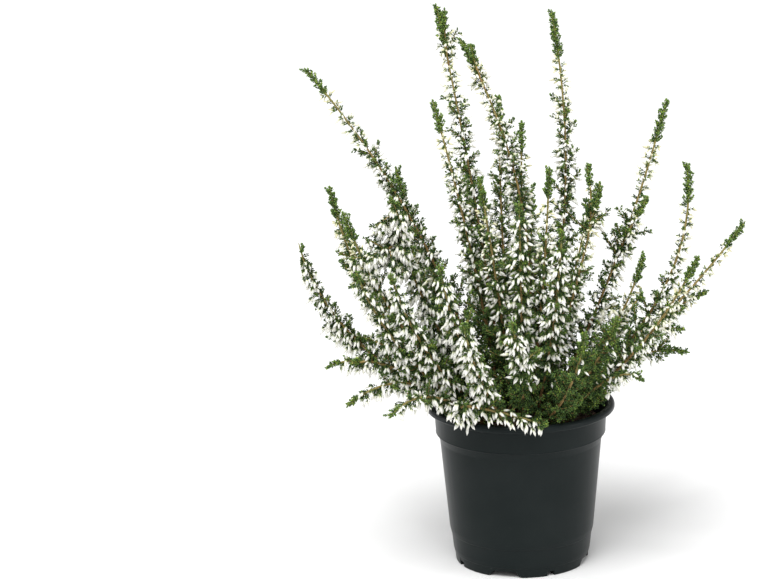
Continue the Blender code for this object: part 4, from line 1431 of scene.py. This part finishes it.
def pot_material():
    """Moulded plastic, satin, with faint flow marks and a little dust."""
    look = Look("pot_plastic_fine", POT_FINISH)
    look.follow_object()
    cloud = look.noise(*FLOW_MARKS)
    specks = look.ramp(look.noise(*DUST_SPECKS), DUST_SPOTS)
    share = look.nodes.new("ShaderNodeMath")
    share.operation = "MULTIPLY"
    share.inputs[1].default_value = DUST_SHARE
    look.link(specks, share.inputs[0])
    dusty = look.mix("MIX", look.ramp(cloud, POT_COLOURS), DUST_COLOUR)
    look.link(share.outputs["Value"], dusty.inputs["Factor"])
    look.link(dusty.outputs["Result"], look.shader["Base Color"])
    rough = look.nodes.new("ShaderNodeMapRange")
    rough.inputs["To Min"].default_value, rough.inputs["To Max"].default_value = POT_ROUGHNESS
    look.link(cloud, rough.inputs["Value"])
    look.link(rough.outputs["Result"], look.shader["Roughness"])
    look.bump(look.noise(*POT_GRAIN), *POT_RELIEF)
    return look.mat


def peat_material():
    """Damp peat."""
    look = Look("peat_fine", PEAT_FINISH)
    look.follow_object()
    grain = look.noise(*PEAT_GRAIN)
    look.link(look.ramp(grain, PEAT_COLOURS), look.shader["Base Color"])
    look.bump(grain, *PEAT_RELIEF)
    return look.mat


# Pot

# Radius and height of the corners of its side, which come from the solid
RING_TOP = (42.9, 6.0)
LOWER_BODY = (43.8, 8.6)
LOWER_TOP = (44.9, 19.0)
UPPER_BODY = (46.0, 22.4)
BODY_TOP = (51.4, 80.2)
INNER_STEP_HEIGHT = 22.6
INNER_BODY_HEIGHT = 80.9
PAD_INSIDE = 1.5
RING_RADII = (34.6, 43.3)
CORNER = 0.7
SHARP_ANGLE = math.radians(38.0)
DRAIN_SIDES = 20
DRAIN_DEPTH = 6.0


def smooth_step(value):
    """A soft step from 0 to 1."""
    value = np.clip(value, 0.0, 1.0)
    return value * value * (3.0 - 2.0 * value)


def rounded(points, radius, steps=4):
    """A profile with its corners turned into small arcs."""
    result = [points[0]]
    for before, here, after in zip(points, points[1:], points[2:]):
        before, here, after = (np.array(p, float) for p in (before, here, after))
        room = 0.45 * min(np.linalg.norm(here - before), np.linalg.norm(after - here))
        cut = min(radius, room)
        start = here + (before - here) / np.linalg.norm(before - here) * cut
        end = here + (after - here) / np.linalg.norm(after - here) * cut
        result += [tuple(p) for p in quadratic(start, here, end, np.linspace(0.0, 1.0, steps))]
    result.append(points[-1])
    return result


def fine_pot_profile():
    """The profile of the solid with a rolled lip, soft corners and fine mould lines at its steps."""
    outside = [
        (0.0, 0.0),
        (PAD_RADIUS, 0.0),
        (PAD_RADIUS + 1.5, CHANNEL_HEIGHT),
        (34.5, CHANNEL_HEIGHT),
        (36.0, 0.0),
        (BASE_RADIUS, 0.0),
        RING_TOP,
        (43.3, 6.25),
        (43.35, 6.6),
        LOWER_BODY,
        LOWER_TOP,
        (45.3, 19.2),
        (45.35, 19.6),
        UPPER_BODY,
        BODY_TOP,
        (53.0, 84.9),
        (54.0, 85.15),
        (54.1, 85.5),
        (53.98, 85.9),
        (COLLAR_RADIUS, LIP_UNDERSIDE),
        (RIM_RADIUS - 0.7, LIP_UNDERSIDE),
        (RIM_RADIUS, LIP_UNDERSIDE + 0.9),
        (RIM_RADIUS - 0.15, POT_HEIGHT - 1.3),
        (RIM_RADIUS - 1.3, POT_HEIGHT),
        (RIM_INNER_RADIUS + 0.9, POT_HEIGHT),
        (RIM_INNER_RADIUS, POT_HEIGHT - 0.8),
    ]
    inside = [
        (COLLAR_RADIUS - WALL + 0.3, LIP_UNDERSIDE + 0.6),
        (COLLAR_RADIUS - WALL - 0.2, LIP_UNDERSIDE - 2.0),
        (BODY_TOP[0] - WALL, INNER_BODY_HEIGHT),
        (INNER_STEP_RADIUS, INNER_STEP_HEIGHT),
        (INNER_FLOOR_RADIUS, FLOOR_HEIGHT),
        (PAD_RADIUS + 0.5, FLOOR_HEIGHT),
        (PAD_RADIUS - 1.0, PAD_INSIDE),
        (0.0, PAD_INSIDE),
    ]
    return rounded(outside + inside, CORNER)


def ring_cuts():
    """Each cut of the foot ring: its middle in degrees from the front, its half angles and its height."""
    for step in range(RING_CUTS):
        turn = 360.0 / RING_CUTS * step
        yield SCALLOP_ANGLE + turn, SCALLOP_HALF_ANGLES, SCALLOP_HEIGHT
        yield SLOT_ANGLE + turn, SLOT_HALF_ANGLES, SLOT_HEIGHT


def ring_lift(angles):
    """How far the foot ring is cut away at each angle from the front."""
    lift = np.zeros_like(angles)
    for middle, (wide, narrow), height in ring_cuts():
        off = np.abs((angles - middle + 180.0) % 360.0 - 180.0)
        lift = np.maximum(lift, height * smooth_step((wide - off) / (wide - narrow)))
    return lift


def side_angles():
    """The angles of the pot's sides from its front: evenly spread, with more at the edges of the cuts."""
    angles = list(np.arange(FINE_POT_SIDES) * 360.0 / FINE_POT_SIDES)
    for middle, edges, _ in ring_cuts():
        angles += [(middle + way * half) % 360.0 for half in edges for way in (-1.0, 1.0)]
    angles = np.sort(np.array(angles))
    return angles[np.concatenate([[True], np.diff(angles) > 0.12])]


def build_pot():
    """The pot as turned plastic, its foot ring cut into feet, with drain holes."""
    degrees = side_angles()
    sides = len(degrees)
    turn = np.radians(degrees - 90.0)
    lift = ring_lift(degrees)
    verts, rings = [], []
    for radius, z in fine_pot_profile():
        if radius == 0.0:
            rings.append(np.array([len(verts)]))
            verts.append((0.0, 0.0, z))
            continue
        rings.append(len(verts) + np.arange(sides))
        ring = RING_RADII[0] < radius < RING_RADII[1] and z < SCALLOP_HEIGHT
        heights = np.maximum(z, lift) if ring else np.full(sides, z)
        verts += list(zip(radius * np.cos(turn), radius * np.sin(turn), heights))
    shape = (np.array(verts), stitched(rings), {}, None)
    pot = piece_of("pot_shell", shape, pot_material(), "pot_plastic", "pot")
    cut_drains(pot)
    pot.data.shade_smooth()
    pot.data.set_sharp_from_angle(angle=SHARP_ANGLE)


def cut_drains(pot):
    """Round holes through the raised channel of the base."""
    radius = DRAIN_RADIUS * MM
    for step in range(DRAIN_HOLES):
        angle = TURN * (step + 0.5) / DRAIN_HOLES - math.pi / 2.0
        bm = bmesh.new()
        bmesh.ops.create_cone(
            bm, cap_ends=True, segments=DRAIN_SIDES, radius1=radius, radius2=radius, depth=DRAIN_DEPTH * MM
        )
        place = Vector((math.cos(angle) * DRAIN_RING, math.sin(angle) * DRAIN_RING, CHANNEL_HEIGHT)) * MM
        bmesh.ops.translate(bm, verts=bm.verts, vec=place)
        mesh = bpy.data.meshes.new("drain")
        bm.to_mesh(mesh)
        bm.free()
        cutter = bpy.data.objects.new("drain", mesh)
        bpy.context.scene.collection.objects.link(cutter)
        modifier = pot.modifiers.new("drain", "BOOLEAN")
        modifier.operation = "DIFFERENCE"
        modifier.solver = "MANIFOLD"
        modifier.object = cutter
        graph = bpy.context.evaluated_depsgraph_get()
        result = bpy.data.meshes.new_from_object(pot.evaluated_get(graph))
        pot.modifiers.clear()
        pot.data = result
        bpy.data.objects.remove(cutter, do_unlink=True)


# Peat

PEAT_SIDES = 170
PEAT_RINGS = 50
PEAT_WAVES = 34
WAVE_LENGTHS = (9.0, 1.1)
WAVE_HEIGHT = 0.42
EDGE_DROP = 0.9
SIDE_GAP = 0.4
CRUMBS = 800
CRUMB_RADII = (0.4, 1.5)
CRUMB_SIZES = (0.6, 1.0)
CRUMB_STRETCH = (0.6, 1.2)
CRUMB_LUMPS = 0.16
CRUMB_RISE = 0.25
CRUMB_MARGIN = 2.0
FIBRES = 130
FIBRE_LENGTHS = (3.0, 8.0)
FIBRE_POINTS = 7
FIBRE_RISE = 0.7
FIBRE_MARGIN = 6.0
FIBRE_EDGE = 1.5
FIBRE_AGE = (0.2, 0.4)


def wave_noise(x, y, rng):
    """A sum of plane waves from the longest to the shortest."""
    longest, shortest = WAVE_LENGTHS
    total = np.zeros_like(x)
    for number in range(PEAT_WAVES):
        length = longest * (shortest / longest) ** (number / (PEAT_WAVES - 1))
        angle = rng.uniform(0.0, TURN)
        phase = rng.uniform(0.0, TURN)
        across = x * math.cos(angle) + y * math.sin(angle)
        total += np.sin(TURN * across / length + phase) * length / longest
    return total


def build_peat(rng):
    """Rough peat filling the pot, with crumbs and fibres on top."""
    turn = TURN * np.arange(PEAT_SIDES) / PEAT_SIDES
    verts = [(0.0, 0.0, PAD_INSIDE + GAP)]
    rings = [np.array([0])]
    lower = [
        (PAD_RADIUS - 1.6, PAD_INSIDE + GAP),
        (PAD_RADIUS - 0.1, FLOOR_HEIGHT + GAP),
        (INNER_FLOOR_RADIUS - SIDE_GAP, FLOOR_HEIGHT + GAP),
        (INNER_STEP_RADIUS - SIDE_GAP, INNER_STEP_HEIGHT),
        (BODY_TOP[0] - WALL - SIDE_GAP, INNER_BODY_HEIGHT),
    ]
    for radius, z in lower:
        rings.append(len(verts) + np.arange(PEAT_SIDES))
        verts += list(zip(radius * np.cos(turn), radius * np.sin(turn), np.full(PEAT_SIDES, z)))
    for ring in range(PEAT_RINGS):
        radius = SOIL_EDGE_RADIUS * (1.0 - ring / PEAT_RINGS)
        x, y = radius * np.cos(turn), radius * np.sin(turn)
        level = np.array([soil_height(a, b) for a, b in zip(x, y)])
        rough = wave_noise(x, y, np.random.default_rng(LOOK_SEED)) * WAVE_HEIGHT
        rings.append(len(verts) + np.arange(PEAT_SIDES))
        verts += list(zip(x, y, level + (rough if ring else -EDGE_DROP)))
    rings.append(np.array([len(verts)]))
    verts.append((0.0, 0.0, SOIL_TOP + SOIL_CROWN))
    mat = peat_material()
    piece_of("peat_fill", (np.array(verts), stitched(rings), {}, None), mat, "peat", "soil")
    build_crumbs(rng, mat)


def spot_on_peat(rng, margin):
    """A place on the peat that keeps its distance from the edge."""
    radius = (SOIL_EDGE_RADIUS - margin) * math.sqrt(rng.uniform())
    angle = rng.uniform(0.0, TURN)
    return radius * math.cos(angle), radius * math.sin(angle)


def build_crumbs(rng, mat):
    """Loose crumbs of peat and short fibres on its surface."""
    bm = bmesh.new()
    bmesh.ops.create_icosphere(bm, subdivisions=1, radius=1.0)
    ball = np.array([v.co for v in bm.verts])
    shell = np.array([[v.index for v in f.verts] for f in bm.faces])
    bm.free()
    verts, faces = [], []
    for number in range(CRUMBS):
        x, y = spot_on_peat(rng, CRUMB_MARGIN)
        size = rng.uniform(*CRUMB_RADII) * rng.uniform(*CRUMB_SIZES)
        shape = ball * rng.uniform(*CRUMB_STRETCH, 3) * size
        shape = shape * (1.0 + rng.normal(0.0, CRUMB_LUMPS, (len(ball), 1)))
        spin = np.array(Euler(rng.uniform(0.0, TURN, 3)).to_matrix())
        verts.append(shape @ spin.T + np.array((x, y, soil_height(x, y) + CRUMB_RISE * size)))
        faces.append(shell + number * len(ball))
    growth = Growth(rng)
    for _ in range(FIBRES):
        start = np.array((*spot_on_peat(rng, FIBRE_MARGIN), 0.0))
        way = unit(np.array((rng.normal(), rng.normal(), 0.0)))
        end = start + way * rng.uniform(*FIBRE_LENGTHS)
        middle = (start + end) / 2.0 + np.array((rng.normal(), rng.normal(), 0.0))
        line = quadratic(start, middle, end, np.linspace(0.0, 1.0, FIBRE_POINTS))
        if np.hypot(line[:, 0], line[:, 1]).max() > SOIL_EDGE_RADIUS - FIBRE_EDGE:
            continue
        for point in line:
            point[2] = soil_height(point[0], point[1]) + FIBRE_RISE
        growth.tube(Path(line), FIBRE_RADII, FIBRE_AGE, sides=4, step=1.5)
    fibre_verts, fibre_faces, _, _ = tube_mesh(growth.tubes)
    verts = np.vstack([*verts, fibre_verts])
    faces = np.vstack([*faces, fibre_faces + CRUMBS * len(ball)])
    piece_of("peat_crumbs", (verts, faces, {}, None), mat, "peat", None)


# Plant


def build_plant():
    """The fine pieces of every stem: bark, leaves and buds."""
    finishes = {
        "bark": (grown_material("heather_bark", BARK_FINISH, BARK_COLOURS), "heather_bark"),
        "leaves": (grown_material("heather_leaf", LEAF_FINISH, LEAF_COLOURS), "heather_foliage"),
        "buds": (grown_material("heather_bud", BUD_FINISH, BUD_COLOURS), "heather_buds"),
    }
    leaf, bud = leaf_template(), bud_template()
    for number, stem in enumerate(lay_out()):
        growth = grow(stem, np.random.default_rng(LOOK_SEED + number))
        shapes = {"bark": tube_mesh(growth.tubes), "leaves": spread(leaf, growth.leaves)}
        if len(growth.buds):
            shapes["buds"] = spread(bud, growth.buds)
        for part, shape in shapes.items():
            piece_of(f"{stem.name}_{part}", shape, *finishes[part], stem.name, smooth=part != "leaves")


# Stage, light and camera

FLOOR_HALF = 30.0
SURROUND_STRENGTH = 0.56
KEY_STRENGTH = 2.85
KEY_ANGLE = math.radians(38.0)
KEY_PLACE = (-0.5, -1.2, 2.1)

# Soft boxes: name, place, what they aim at, size and power
SOFT_BOXES = (
    ("strip_right", (1.25, -0.55, 0.35), (0.0, 0.0, 0.1), (0.22, 0.9), 3.2),
    ("strip_front", (0.75, -2.6, 0.75), (0.0, 0.0, 0.06), (0.3, 1.2), 7.0),
    ("strip_left", (-1.2, 0.35, 0.35), (0.0, 0.0, 0.1), (0.22, 0.9), 1.8),
)
CAMERA_PLACE = (-0.0837, -1.8295, 0.6489)
CAMERA_PITCH = math.radians(14.4)
CAMERA_ROLL = math.radians(-1.3)
CAMERA_LENS = 139.9
CAMERA_SENSOR = 36.0


def build_stage():
    """A wide pale floor."""
    mesh = bpy.data.meshes.new("floor")
    corners = [(-1, -1), (1, -1), (1, 1), (-1, 1)]
    mesh.from_pydata([(x * FLOOR_HALF, y * FLOOR_HALF, 0.0) for x, y in corners], [], [(0, 1, 2, 3)])
    look = Look("floor_white", FLOOR_FINISH)
    look.shader["Base Color"].default_value = (*FLOOR_COLOUR, 1.0)
    mesh.materials.append(look.mat)
    floor = bpy.data.objects.new("floor", mesh)
    bpy.context.scene.collection.objects.link(floor)


def aimed(name, lamp, place, target):
    """Put a lamp at a place and turn it to a target."""
    item = bpy.data.objects.new(name, lamp)
    item.location = place
    item.rotation_euler = (Vector(target) - Vector(place)).to_track_quat("-Z", "Y").to_euler()
    bpy.context.scene.collection.objects.link(item)


def build_light():
    """A bright even surround, a wide soft key light and three tall soft boxes."""
    world = bpy.data.worlds.new("surround")
    world.use_nodes = True
    background = world.node_tree.nodes["Background"]
    background.inputs["Color"].default_value = (1.0, 1.0, 1.0, 1.0)
    background.inputs["Strength"].default_value = SURROUND_STRENGTH
    bpy.context.scene.world = world
    key = bpy.data.lights.new("key", "SUN")
    key.energy = KEY_STRENGTH
    key.angle = KEY_ANGLE
    aimed("key", key, KEY_PLACE, (0.0, 0.0, 0.0))
    for name, place, target, size, power in SOFT_BOXES:
        lamp = bpy.data.lights.new(name, "AREA")
        lamp.shape = "RECTANGLE"
        lamp.size, lamp.size_y = size
        lamp.energy = power
        aimed(name, lamp, place, target)
    view = bpy.context.scene.view_settings
    view.view_transform = "Standard"
    view.look = "None"
    view.exposure = 0.0


def build_camera():
    """The camera at the angle of the photograph."""
    data = bpy.data.cameras.new("camera")
    data.sensor_width = CAMERA_SENSOR
    data.lens = CAMERA_LENS
    camera = bpy.data.objects.new("camera", data)
    turn = Euler((math.pi / 2.0 - CAMERA_PITCH, 0.0, 0.0)).to_matrix() @ Matrix.Rotation(CAMERA_ROLL, 3, "Z")
    camera.location = CAMERA_PLACE
    camera.rotation_euler = turn.to_euler()
    bpy.context.scene.collection.objects.link(camera)
    bpy.context.scene.camera = camera


build_stage()
build_light()
build_camera()
build_pot()
build_peat(np.random.default_rng(LOOK_SEED))
build_plant()
